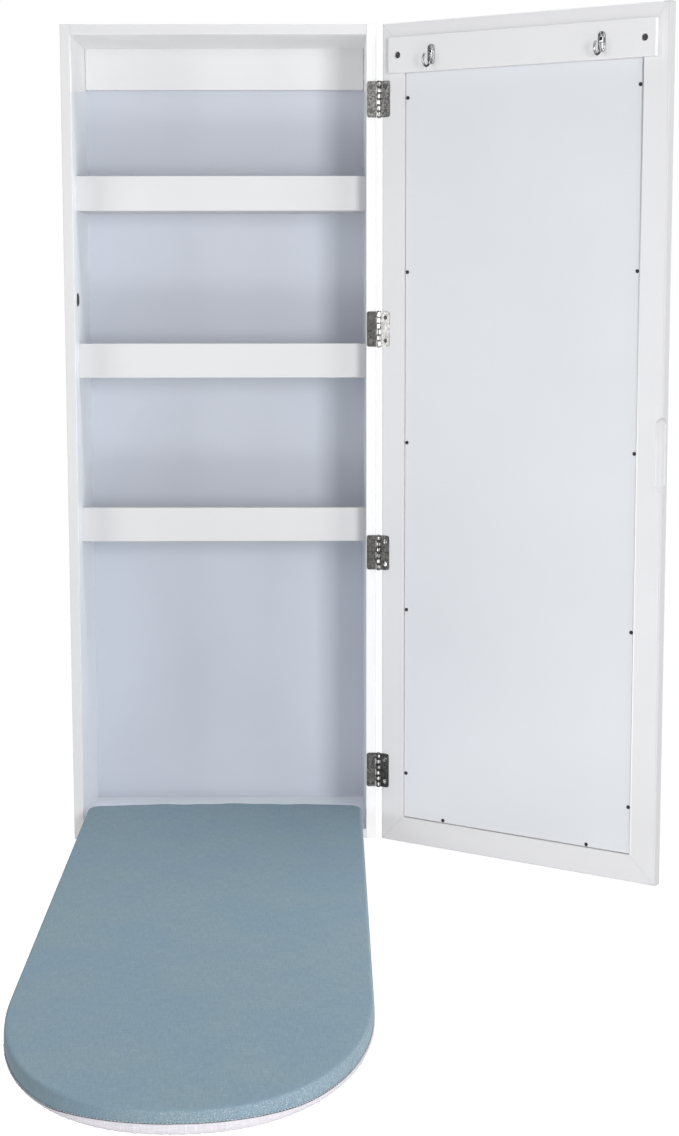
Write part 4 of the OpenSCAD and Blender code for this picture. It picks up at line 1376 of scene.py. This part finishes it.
@dataclass
class IroningBoard:
    """The folding board: its wooden core, its pad, its fitted cover and its gathered hem.

    Heights are above the hinge pins, square to the board.

    Attributes:
        outline: The board's outline.
        pin: Middle of its hinge pins.
        droop: How far it droops when it is down, in degrees.
        core_z: Height of the core's underside.
        pad_z: Height of the pad's underside.
        pad_top: Height of the pad's top.
        pad_step: Points of the outline for each point of the pad.
        top: Height of the cover's top.
        roll: Radius of the cover's rolled edge.
        flat_roll: Share of that radius by which the flat cover is longer.
        slack: How far the cover's inner side stands in from the outline.
        seam_z: Height of the seam at the tip.
        left_fall: How much lower the seam lies along the left flank.
        right_fall: How much lower it lies along the right flank.
        crown: How far the padding lifts the cloth along the rear edge.
        hem_start: Where the hem starts, behind which the board has none.
        cover_thickness: Thickness of the cover's cloth.
        hem_thickness: Thickness of the hem's cloth.
        body: The body that it rides on.
        belly: How far the cover's side bulges.
        tuck: How far it tucks in at the seam.
        swell: How far the cover's top rises towards its middle.
        roll_steps: Rings of the rolled edge.
        top_shares: Rings of the cover's top, as shares of the way from the middle line.
        pad_shares: Rings of the pad's top.
        sag: Slow waves of the cover's loose edge.
        tucks: Quick waves of that edge.
        drift: Waves of the cover's top.
        pleats: Pleats of the hem, where it stands.
        creases: Creases between the pleats.
        pleat_drop: How far the pleats hang where the hem lies under the board.
        crease_drop: How far the creases hang there.
        hem_step: Length of cloth from one ring of the hem to the next.
        felt_edge: Waves of the pad's edge.
    """

    outline: BoardOutline = field(default_factory=BoardOutline)
    pin: Place = (0.0, -0.1625, -0.9475)
    droop: float = 1.2
    core_z: float = 0.0045
    pad_z: float = 0.0165
    pad_top: float = 0.0225
    pad_step: int = 6
    top: float = 0.0234
    roll: float = 0.0042
    flat_roll: float = 0.571
    slack: float = 0.0002
    seam_z: float = 0.0122
    left_fall: float = 0.0068
    right_fall: float = 0.0046
    crown: float = 0.003
    hem_start: float = -0.044
    cover_thickness: float = 0.0007
    hem_thickness: float = 0.0005
    body: str = "board"
    belly: float = 0.0005
    tuck: float = 0.0006
    swell: float = 0.0007
    roll_steps: int = 5
    top_shares: tuple[float, ...] = (
        0.985, 0.96, 0.92, 0.86, 0.78, 0.68, 0.56, 0.43, 0.3, 0.17, 0.06)
    pad_shares: tuple[float, ...] = (0.9, 0.7, 0.4, 0.1)
    sag: Gathers = Gathers(0.05, 0.12, 11, 0.00035)
    tucks: Gathers = Gathers(0.011, 0.026, 12, 0.00042)
    drift: Gathers = Gathers(0.14, 0.4, 21, 0.00022)
    pleats: Gathers = Gathers(0.006, 0.013, 31, 0.0007)
    creases: Gathers = Gathers(0.0035, 0.006, 32, 0.0003)
    pleat_drop: float = 0.0006
    crease_drop: float = 0.00018
    hem_step: float = 0.0025
    felt_edge: Gathers = Gathers(0.08, 0.2, 41, 0.0001)

    def placed(self, plane: np.ndarray, height: np.ndarray | float) -> np.ndarray:
        """Moves points of the board's own frame into the row frame.

        Args:
            plane: Points in the board's plane.
            height: Their heights.

        Returns:
            The points in the row frame.
        """
        local = np.column_stack([plane, np.broadcast_to(height, len(plane))])
        turn = np.array(Matrix.Rotation(math.radians(self.droop), 3, "X"))
        return local @ turn.T + np.array(self.pin)

    def all_placed(self, rings: list[np.ndarray], heights: list[np.ndarray | float]
                   ) -> list[np.ndarray]:
        """Returns the rings in the row frame, each at its own height."""
        return [self.placed(ring, height) for ring, height in zip(rings, heights)]

    def freedom(self) -> np.ndarray:
        """Returns how freely the cloth gathers at each point: little along the rear edge."""
        return np.clip((-self.outline.points[:, 1] - 0.02) / 0.12, 0.12, 1.0)

    def tip_share(self) -> np.ndarray:
        """Returns how much of the tip's extra fullness each point gets."""
        return np.clip((-self.outline.points[:, 1] - 0.62) / 0.14, 0.0, 1.0)

    def seam_height(self) -> np.ndarray:
        """Finds the seam's height, which is lower along the flanks than at the tip.

        Returns:
            Its height at each point.
        """
        x, y = self.outline.points.T
        flank = np.clip((y + 0.965) / 0.07, 0.0, 1.0) * np.clip((-y - 0.05) / 0.05, 0.0, 1.0)
        fall = np.where(x < 0.0, self.left_fall, self.right_fall)
        return self.seam_z - fall * flank ** 2 * (3 - 2 * flank)

    def rear_crown(self, ring: np.ndarray) -> np.ndarray:
        """Lifts the cloth in a low, slightly uneven dome along the rear edge.

        Args:
            ring: The ring's points.

        Returns:
            How far each of them is lifted.
        """
        x, y = ring.T
        bow = np.clip(1 - (x / self.outline.half) ** 2, 0.0, 1.0)
        uneven = 1 + 0.16 * np.sin(x * 61.0 + 0.7) + 0.1 * np.sin(x * 143.0)
        return self.crown * bow * uneven * np.exp(np.minimum(y, 0.0) / 0.035)

    def loose_edge(self, depth: float) -> np.ndarray:
        """Finds how far the cloth's gathers stand out, at a depth below the rolled edge.

        Args:
            depth: 0 at the foot of the roll and 1 at the seam.

        Returns:
            A distance for each point round the board.
        """
        slow, quick = self.sag.along(self.outline), self.tucks.along(self.outline)
        fullness = 0.6 + 0.4 * self.tip_share()
        return self.freedom() * fullness * (self.sag.height * slow * depth
                                            + self.tucks.height * quick * depth ** 2)

    def build_cover(self) -> bpy.types.Object:
        """Builds the fitted cover, from its seam up the side, over the roll and across.

        Returns:
            The cover.
        """
        shape = self.outline
        foot = self.top - self.roll
        seam = self.seam_height()
        rings, heights, flats = [], [], []
        falls: list[float] = []
        for depth in np.linspace(1.0, 0.0, 7):
            tuck = self.tuck * max(0.0, depth - 0.8) / 0.2
            belly = self.belly * math.sin(math.pi * min(1.0, depth / 0.85))
            ring = shape.ring(tuck - belly - self.loose_edge(depth) + self.slack)
            rings.append(ring)
            heights.append(foot - (foot - seam) * depth
                           + self.rear_crown(ring) * (1 - depth) ** 2)
            flats.append(shape.ring(-(foot - self.seam_z) * depth
                                    - self.roll * self.flat_roll))
            falls.append(1.0)
        for step in range(1, self.roll_steps + 1):
            angle = math.pi / 2 * step / self.roll_steps
            inset = self.roll * (1 - math.cos(angle)) + self.slack
            ring = shape.ring(inset)
            rings.append(ring)
            heights.append(foot + self.roll * math.sin(angle) + self.rear_crown(ring))
            fall = 1 - step / self.roll_steps
            flats.append(shape.ring(-self.roll * fall * self.flat_roll + inset * 0.9))
            falls.append(fall)
        inner = shape.ring(self.roll + self.slack)
        wave = self.drift.along(shape)
        for share in self.top_shares:
            ring = shape.towards_spine(inner, share)
            swell = self.swell * (1 - share ** 6)
            ripple = self.drift.height * wave * math.sin(math.pi * share) * self.freedom()
            rings.append(ring)
            heights.append(self.top + swell + ripple + self.rear_crown(ring))
            flats.append(ring)
            falls.append(0.0)
        edge = [np.column_stack([np.full(shape.count, fall), shape.points[:, 0] / shape.half])
                for fall in falls]
        piece = mesh_piece("cover_cloth", np.concatenate(self.all_placed(rings, heights)),
                           stack(len(rings), shape.count, foot=False), COVER_CLOTH,
                           cloth=np.concatenate(flats), edge=np.concatenate(edge))
        thicken(piece, self.cover_thickness, -1.0)
        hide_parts("board_cover")
        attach(piece, self.body)
        return piece

    def hem_range(self) -> np.ndarray:
        """Finds the outline's points that the hem follows.

        Returns:
            Their numbers, in order.
        """
        shape = self.outline
        free = shape.points[:, 1] < self.hem_start
        start = int(np.flatnonzero(free & ~np.roll(free, 1))[0])
        order = (np.arange(shape.count) + start) % shape.count
        return order[free[order]]

    def hem_profile(self) -> list[tuple[float, np.ndarray | float, float]]:
        """Draws the hem's section, from the seam down the core's edge and in under it.

        Returns:
            For each ring how far it is drawn in, its height and its share of the pleats.
        """
        seam_z = self.seam_height()
        low = self.core_z - 0.0011
        down = low + 0.0012 - seam_z
        side = [(-0.0001, seam_z + 0.0006, 0.1), (0.0001, seam_z - 0.0006, 0.35),
                (-0.0002, seam_z + down * 0.35, 0.8), (0.0, seam_z + down * 0.65, 1.0),
                (0.0005, seam_z + down, 1.0)]
        under = [(0.0016, 0.0002, 1.0), (0.004, 0.0, 1.0), (0.008, 0.0, 1.0),
                 (0.012, 0.0, 1.1), (0.016, 0.0, 1.15), (0.0185, -0.0001, 1.1),
                 (0.0205, -0.0006, 0.9), (0.0225, -0.0009, 0.8), (0.0245, -0.0004, 0.8),
                 (0.0252, 0.0002, 0.8)]
        return side + [(inset, low + lift, amount) for inset, lift, amount in under]

    def build_hem(self) -> tuple[bpy.types.Object, np.ndarray, np.ndarray]:
        """Builds the gathered hem, from the seam round the core's edge and in under it.

        Returns:
            The hem, the path of its seam and the path of its inner stitching.
        """
        shape, order = self.outline, self.hem_range()
        pleat, fine = self.pleats.along(shape), self.creases.along(shape)
        full = self.freedom() * (0.45 + 0.55 * self.tip_share())
        rings, heights = [], []
        for inset, height, amount in self.hem_profile():
            under = np.clip(inset / 0.003, 0.0, 1.0)
            stand = full * amount * (self.pleats.height * pleat + self.creases.height * fine)
            rings.append(shape.ring(inset - stand * (1 - under)))
            drop = full * amount * (self.pleat_drop * (pleat + 1) + self.crease_drop * fine)
            heights.append(height - under * drop)
        count, rows = len(order), len(rings)
        points = [ring[order] for ring in self.all_placed(rings, heights)]
        faces = [(i, i + count, i + count + 1, i + 1)
                 for r in range(rows - 1) for i in range(r * count, (r + 1) * count - 1)]
        length = np.mod(shape.run[order] - shape.run[order[0]], shape.girth)
        across = np.cumsum([0.0] + [self.hem_step] * (rows - 1))
        cloth = [np.column_stack([length, np.full(count, a)]) for a in across]
        piece = mesh_piece("hem_cloth", np.concatenate(points), faces, HEM_CLOTH,
                           cloth=np.concatenate(cloth))
        thicken(piece, self.hem_thickness, 1.0)
        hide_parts("cover_hem")
        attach(piece, self.body)
        seam = self.placed(shape.ring(-self.loose_edge(1.0) - self.slack),
                           self.seam_height() + 0.0016)[order]
        inner = self.placed(rings[10], heights[10] - 0.0002)[order]
        return piece, seam, inner

    def build_pad(self) -> bpy.types.Object:
        """Builds the felt pad, a little slack where the cover rolls over it.

        Returns:
            The pad.
        """
        shape = self.outline
        soft = self.felt_edge.along(shape)
        low, high = self.pad_z, self.pad_top
        profile = [(0.0026, low + 0.0001), (0.0014, low + 0.0008), (0.0012, low + 0.0022),
                   (0.0014, high - 0.0026), (0.0024, high - 0.0012), (0.0044, high - 0.0003),
                   (0.008, high - 0.0001)]
        rings = [shape.ring(inset + self.felt_edge.height * (1 + soft)) for inset, _ in profile]
        heights = [height for _, height in profile]
        for share in self.pad_shares:
            rings.append(shape.towards_spine(shape.ring(profile[-1][0]), share))
            heights.append(high)
        rings = [ring[::self.pad_step] for ring in rings]
        piece = mesh_piece("pad_felt", np.concatenate(self.all_placed(rings, heights)),
                           stack(len(rings), len(rings[0])), FELT)
        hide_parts("board_pad")
        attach(piece, self.body)
        return piece

    def build(self) -> None:
        """Builds the soft goods and dresses the solids."""
        cover = self.build_cover()
        hem, seam, inner = self.build_hem()
        pad = self.build_pad()
        seam_row = StitchRow().sew("seam_stitches", seam)
        inner_row = StitchRow(spacing=0.003, length=0.0021, seed=9).sew("hem_stitches", inner)
        for row in (seam_row, inner_row):
            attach(row, self.body)
        dress(((BOARD_WOOD, ("board_core",)),
               (ZINC, ("board_hinge_flap_left", "board_hinge_flap_right")),
               (DULL_SCREW, ("board_hinge_flap_screws",))))
        log.info("ironing board: cover, hem, pad and stitches built")


# ---------------------------------------------------------------- cabinet and door


@dataclass
class Carcass:
    """The wall cabinet: its box, rail, shelves, lips and fittings.

    Attributes:
        finishes: Each finish with the names of its solids.
    """

    finishes: Dressing = (
        (SIDE_PAINT, ("side_left",)), (HINGE_SIDE_PAINT, ("side_right",)),
        (TOP_PAINT, ("top_panel",)), (BOTTOM_PAINT, ("bottom_panel",)),
        (CABINET_PAINT, ("shelf_upper", "shelf_middle", "shelf_lower", "lip_upper",
                         "lip_middle", "lip_lower", "board_rest")),
        (RAIL_PAINT, ("hanging_rail",)), (BACK_FOIL, ("back_panel",)),
        (BEECH, ("corner_dowels", "small_dowels")),
        (DULL_SCREW, ("back_panel_screws", "hanger_screws", "board_bumper_screw",
                      "board_hinge_base_screws")),
        (ZINC, ("hanger_plates", "board_hinge_base_left", "board_hinge_base_right",
                "board_hinge_pins")),
        (BLACK_RUBBER, ("board_bumper",)))

    def build(self) -> None:
        """Dresses the cabinet's solids."""
        dress(self.finishes)


@dataclass(frozen=True)
class RobeHook:
    """A coat hook: an oval plate with a wire let into it, which swings out and up.

    It is drawn on the closed door, outwards from its seat and up from its screw.

    Attributes:
        node: The solid that it replaces.
        across: Place of its screw, across the closed door.
        seat: Depth of its seat.
        head: Height of the solid's top above the screw.
        plate_r: Radius of the plate's round ends.
        plate_ends: Heights of their centres.
        plate_points: Points round each end.
        rim: Rings of the plate, as distances drawn in and outwards.
        screw_top: How far the top of the screw stands out from the seat.
        drill_r: Radius of the screw's hole.
        drill_reach: From where to where the hole is cut, outwards.
        drill_points: Points round the hole.
        wire_r: Radius of the wire.
        wire_points: Points round the wire.
        route: Route of the wire, outwards and up.
        rounds: How often the route's corners are cut.
        sharp: Angle in degrees from which an edge stays sharp.
    """

    node: str
    across: float
    seat: float = -0.17
    head: float = 0.0082
    plate_r: float = 0.0043
    plate_ends: Span = (0.004, -0.0104)
    plate_points: int = 16
    rim: tuple[Span, ...] = ((0.0, 0.0), (0.0, 0.0011), (0.0002, 0.0015), (0.0006, 0.0018))
    screw_top: float = 0.003
    drill_r: float = 0.00136
    drill_reach: Span = (-0.001, 0.003)
    drill_points: int = 16
    wire_r: float = 0.00125
    wire_points: int = 12
    route: tuple[Span, ...] = (
        (0.0014, -0.0044), (0.0015, -0.0075), (0.0028, -0.0118), (0.0058, -0.0156),
        (0.0114, -0.0188), (0.0168, -0.0162), (0.0192, -0.0114), (0.018, -0.007),
        (0.0152, -0.0042))
    rounds: int = 3
    sharp: float = 38.0

    def open_out(self, points: Sequence[Vector]) -> np.ndarray:
        """Moves points of the hook's own frame onto the open door.

        Args:
            points: Points across, outwards and up, from the screw.

        Returns:
            The points in the row frame.
        """
        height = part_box(self.node)[1][2] - self.head
        pin = Vector((*DOOR_PIN, 0.0))
        turn = Matrix.Rotation(math.radians(DOOR_ANGLE), 3, "Z")
        place = Vector((self.across, self.seat, height))
        return np.array([turn @ (place + p - pin) + pin for p in points])

    def solid(self, name: str, rings: list[list[Vector]]) -> bpy.types.Object:
        """Makes a closed solid through rings of equally many points.

        Args:
            name: Its name.
            rings: The rings, in order.

        Returns:
            The solid, with its faces outwards.
        """
        points = self.open_out([point for ring in rings for point in ring])
        piece = mesh_piece(name, points, stack(len(rings), len(rings[0])), CHROME)
        skin = bmesh.new()
        skin.from_mesh(piece.data)
        bmesh.ops.recalc_face_normals(skin, faces=skin.faces)
        skin.to_mesh(piece.data)
        skin.free()
        return piece

    def plate(self) -> bpy.types.Object:
        """Makes the oval plate.

        Returns:
            The plate.
        """
        rings = []
        half_turn = [math.pi * i / (self.plate_points - 1) for i in range(self.plate_points)]
        for inset, out in self.rim:
            radius = self.plate_r - inset
            rings.append([
                Vector((radius * math.cos(angle), out, middle + radius * math.sin(angle)))
                for middle, start in zip(self.plate_ends, (0.0, math.pi))
                for angle in (step + start for step in half_turn)])
        return self.solid(f"{self.node}_plate", rings)

    def wire(self) -> bpy.types.Object:
        """Makes the bent wire, with both its ends rounded.

        Returns:
            The wire.
        """
        path = [Vector((0.0, *point)) for point in self.route]
        for _ in range(self.rounds):
            cut = [path[0]]
            for a, b in zip(path, path[1:]):
                cut += [a.lerp(b, 0.25), a.lerp(b, 0.75)]
            path = cut + [path[-1]]
        stops = [(path[0], path[1] - path[0], -step) for step in (85, 55, 25)]
        stops += [(a, b - a, 0) for a, b in zip(path, path[1:])]
        stops += [(path[-1], path[-1] - path[-2], step) for step in (0, 25, 55, 85)]
        rings = []
        for centre, along, step in stops:
            along, angle = along.normalized(), math.radians(step)
            side, up = Vector((1.0, 0.0, 0.0)), Vector((0.0, -along.z, along.y))
            middle = centre + along * self.wire_r * math.sin(angle)
            radius = self.wire_r * math.cos(angle)
            rings.append([middle + radius * (side * math.cos(turn) + up * math.sin(turn))
                          for turn in turns(self.wire_points)])
        return self.solid(f"{self.node}_wire", rings)

    def drill(self) -> bpy.types.Object:
        """Makes the solid that cuts the screw's hole.

        Returns:
            The solid.
        """
        rings = [[Vector((self.drill_r * math.cos(turn), out, self.drill_r * math.sin(turn)))
                  for turn in turns(self.drill_points)] for out in self.drill_reach]
        return self.solid(f"{self.node}_drill", rings)

    def build(self) -> bpy.types.Object:
        """Joins the wire to the plate, drills it and puts the hook in the solid's place.

        Returns:
            The hook.
        """
        plate, tools = self.plate(), [(self.wire(), "UNION"), (self.drill(), "DIFFERENCE")]
        for tool, operation in tools:
            step = plate.modifiers.new(operation.lower(), "BOOLEAN")
            step.operation, step.object, step.solver = operation, tool, "EXACT"
        mesh = baked(plate)
        mesh.set_sharp_from_angle(angle=math.radians(self.sharp))
        hook = add_object(f"{self.node}_bent", mesh)
        for spare in (plate, *(tool for tool, _ in tools)):
            bpy.data.objects.remove(spare)
        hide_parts(self.node)
        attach(hook, "door")
        return hook


@dataclass
class MirrorDoor:
    """The mirrored door, its hinges and its hook rail.

    Attributes:
        finishes: Each finish with the names of its solids.
        hooks: The coat hooks.
        leaves: Finishes of each hinge's leaves, on the cabinet and on the door, lighter and darker
            copies of one nickel as painted reflection.
    """

    finishes: Dressing = (
        (DOOR_PAINT, ("door_stile_hinge", "door_stile_free", "door_rail_top",
                      "door_rail_bottom")),
        (HOOK_RAIL_PAINT, ("hook_rail",)), (MIRROR, ("mirror_glass",)),
        (FOAM, ("mirror_liner",)), (DOOR_BACK_FOIL, ("door_back_panel",)),
        (BLACK_SCREW, ("door_back_screws",)), (DARK_SCREW, ("hook_rail_screws",)),
        (DULL_SCREW, ("hinge_cabinet_screws",)), (SCREW_STEEL, ("hinge_door_screws",)),
        (PIN_STEEL, ("hinge_1_pin", "hinge_2_pin", "hinge_3_pin", "hinge_4_pin")))
    hooks: tuple[RobeHook, ...] = (
        RobeHook("hook_near", 0.1155), RobeHook("hook_far", -0.1105))
    leaves: tuple[tuple[LeafPlate, LeafPlate], ...] = (
        (NICKEL_MID_REFLECTION, NICKEL_MID_REFLECTION), (NICKEL_DARK_REFLECTION, NICKEL_LIGHT_REFLECTION),
        (NICKEL_DIM_REFLECTION, NICKEL_DIM_REFLECTION), (NICKEL_DIM_REFLECTION, NICKEL_DIM_REFLECTION))

    def build(self) -> None:
        """Builds the coat hooks and dresses the door's solids."""
        for hook in self.hooks:
            hook.build()
        tops = [hook.open_out([Vector((0.0, hook.screw_top, 0.0))])[0] for hook in self.hooks]
        eyes = tuple(tuple(map(float, top)) for top in tops)
        dress(((replace(HOOK_SCREW, eyes=eyes), ("hook_screws",)), *self.finishes))
        for i, pair in enumerate(self.leaves, 1):
            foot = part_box(f"hinge_{i}_cabinet_leaf")[0][2]
            for leaf, finish in zip(("cabinet", "door"), pair):
                own = replace(finish, name=f"{finish.name}_{leaf}_{i}", foot=foot)
                dress(((own, (f"hinge_{i}_{leaf}_leaf",)),))


# ---------------------------------------------------------------- studio


@dataclass
class Lamp:
    """A soft lamp that points at a place.

    Attributes:
        name: Its name.
        place: Where it stands.
        target: Where it points.
        size: Its width and height.
        power: Its power, in watts.
    """

    name: str
    place: Place
    target: Place
    size: Span
    power: float

    def hang(self) -> None:
        """Adds the lamp to the scene."""
        data = bpy.data.lights.new(self.name, "AREA")
        data.shape = "RECTANGLE"
        data.size, data.size_y = self.size
        data.energy = self.power
        lamp = add_object(self.name, data)
        lamp.location = self.place
        aim = Vector(self.target) - Vector(self.place)
        lamp.rotation_euler = aim.to_track_quat("-Z", "Y").to_euler()


@dataclass
class Studio:
    """The camera, the pale floor, the white surroundings and the lamps.

    Attributes:
        camera_place: Where the camera stands.
        pitch: How far it looks down, in degrees.
        yaw: How far it looks to the right.
        roll: How far it leans.
        lens: Its focal length, in millimetres.
        sensor: Width of its sensor, in millimetres.
        clip: Nearest and farthest distance that it sees, in metres.
        floor_z: Height of the floor.
        floor_half: Half its width.
        floor_grey: Its colour.
        floor_glow: How brightly it shows to the camera.
        backdrop: Colour of the surroundings and of the floor's glow.
        sky: How strongly the surroundings light.
        lamps: The lamps.
    """

    camera_place: Place = (0.12701, -2.7956, -0.26482)
    pitch: float = 7.69
    yaw: float = 0.40
    roll: float = -0.08
    lens: float = 67.30
    sensor: float = 36.0
    clip: Span = (0.05, 60.0)
    floor_z: float = -1.95
    floor_half: float = 14.0
    floor_grey: Colour = (0.5, 0.5, 0.5)
    floor_glow: float = 0.83
    backdrop: Colour = (1.0, 1.0, 1.0)
    sky: float = 0.34
    lamps: tuple[Lamp, ...] = (
        Lamp("key", (0.95, -3.0, -0.22), (0.0, -0.05, -0.45), (0.55, 0.9), 33.9),
        Lamp("right", (1.95, -1.75, -0.75), (0.0, -0.1, -0.5), (1.0, 1.6), 15.5),
        Lamp("left", (-1.95, -1.75, -0.5), (0.1, -0.1, -0.5), (1.0, 1.6), 22.0),
        Lamp("over_door", (1.1, -0.45, 1.5), (0.0, -0.55, -0.95), (0.9, 0.9), 30.0),
        Lamp("low", (0.2, -2.6, -1.75), (0.0, -0.1, -0.3), (2.0, 0.6), 13.5),
    )

    def set_camera(self) -> None:
        """Places the camera at the photograph's view."""
        data = bpy.data.cameras.new("camera")
        data.sensor_width, data.sensor_fit, data.lens = self.sensor, "AUTO", self.lens
        data.clip_start, data.clip_end = self.clip
        camera = add_object("camera", data)
        camera.location = self.camera_place
        camera.rotation_euler = (Matrix.Rotation(math.radians(-self.yaw), 3, "Z")
                                 @ Matrix.Rotation(math.radians(90 - self.pitch), 3, "X")
                                 @ Matrix.Rotation(math.radians(self.roll), 3, "Z")
                                 ).to_euler()
        bpy.context.scene.camera = camera

    def unlit_share(self, sheet: Sheet) -> Socket:
        """Tells the rays that see the surroundings from those that light.

        Args:
            sheet: The sheet of a material or of the surroundings.

        Returns:
            1 for rays that see and 0 for rays that light.
        """
        ray = sheet.add("ShaderNodeLightPath").outputs
        seen = sheet.math("MAXIMUM", ray["Is Camera Ray"], ray["Is Glossy Ray"])
        return sheet.math("MAXIMUM", seen, ray["Is Transmission Ray"])

    def set_world(self) -> None:
        """Makes surroundings that look white and light softly from above."""
        world = bpy.data.worlds.new("surroundings")
        bpy.context.scene.world = world
        sheet = Sheet.blank(world)
        light, seen = (
            sheet.add("ShaderNodeBackground", {"Color": self.backdrop, "Strength": strength})
            for strength in (self.sky, 1.0))
        mix = sheet.add("ShaderNodeMixShader", {0: self.unlit_share(sheet),
                                                1: light.outputs[0], 2: seen.outputs[0]})
        sheet.add("ShaderNodeOutputWorld", {"Surface": mix.outputs[0]})

    def lay_floor(self) -> None:
        """Lays a pale floor far below, which keeps the cabinet's faint shadow."""
        half, z = self.floor_half, self.floor_z
        mesh = bpy.data.meshes.new("floor")
        mesh.from_pydata([(-half, -half, z), (half, -half, z), (half, half, z),
                          (-half, half, z)], [], [(0, 1, 2, 3)])
        material = bpy.data.materials.new("floor_white")
        sheet = Sheet.blank(material)
        matt = sheet.add("ShaderNodeBsdfDiffuse", {"Color": self.floor_grey})
        glow = sheet.add("ShaderNodeEmission",
                         {"Color": self.backdrop,
                          "Strength": sheet.times(self.unlit_share(sheet), self.floor_glow)})
        total = sheet.add("ShaderNodeAddShader", {0: matt.outputs[0], 1: glow.outputs[0]})
        sheet.add("ShaderNodeOutputMaterial", {"Surface": total.outputs[0]})
        mesh.materials.append(material)
        floor = add_object("floor", mesh)

    def build(self) -> None:
        """Sets the whole studio."""
        scene = bpy.context.scene
        scene.view_settings.view_transform = "Standard"
        self.set_camera()
        self.set_world()
        self.lay_floor()
        for lamp in self.lamps:
            lamp.hang()


def main() -> None:
    """Builds the studio and every sub-assembly in order."""
    steps: list[tuple[str, Callable[[], None]]] = [
        ("studio", Studio().build), ("cabinet", Carcass().build),
        ("door", MirrorDoor().build), ("ironing board", IroningBoard().build)]
    for name, build in steps:
        build()
        log.info("%s done", name)


if __name__ == "__main__":
    main()
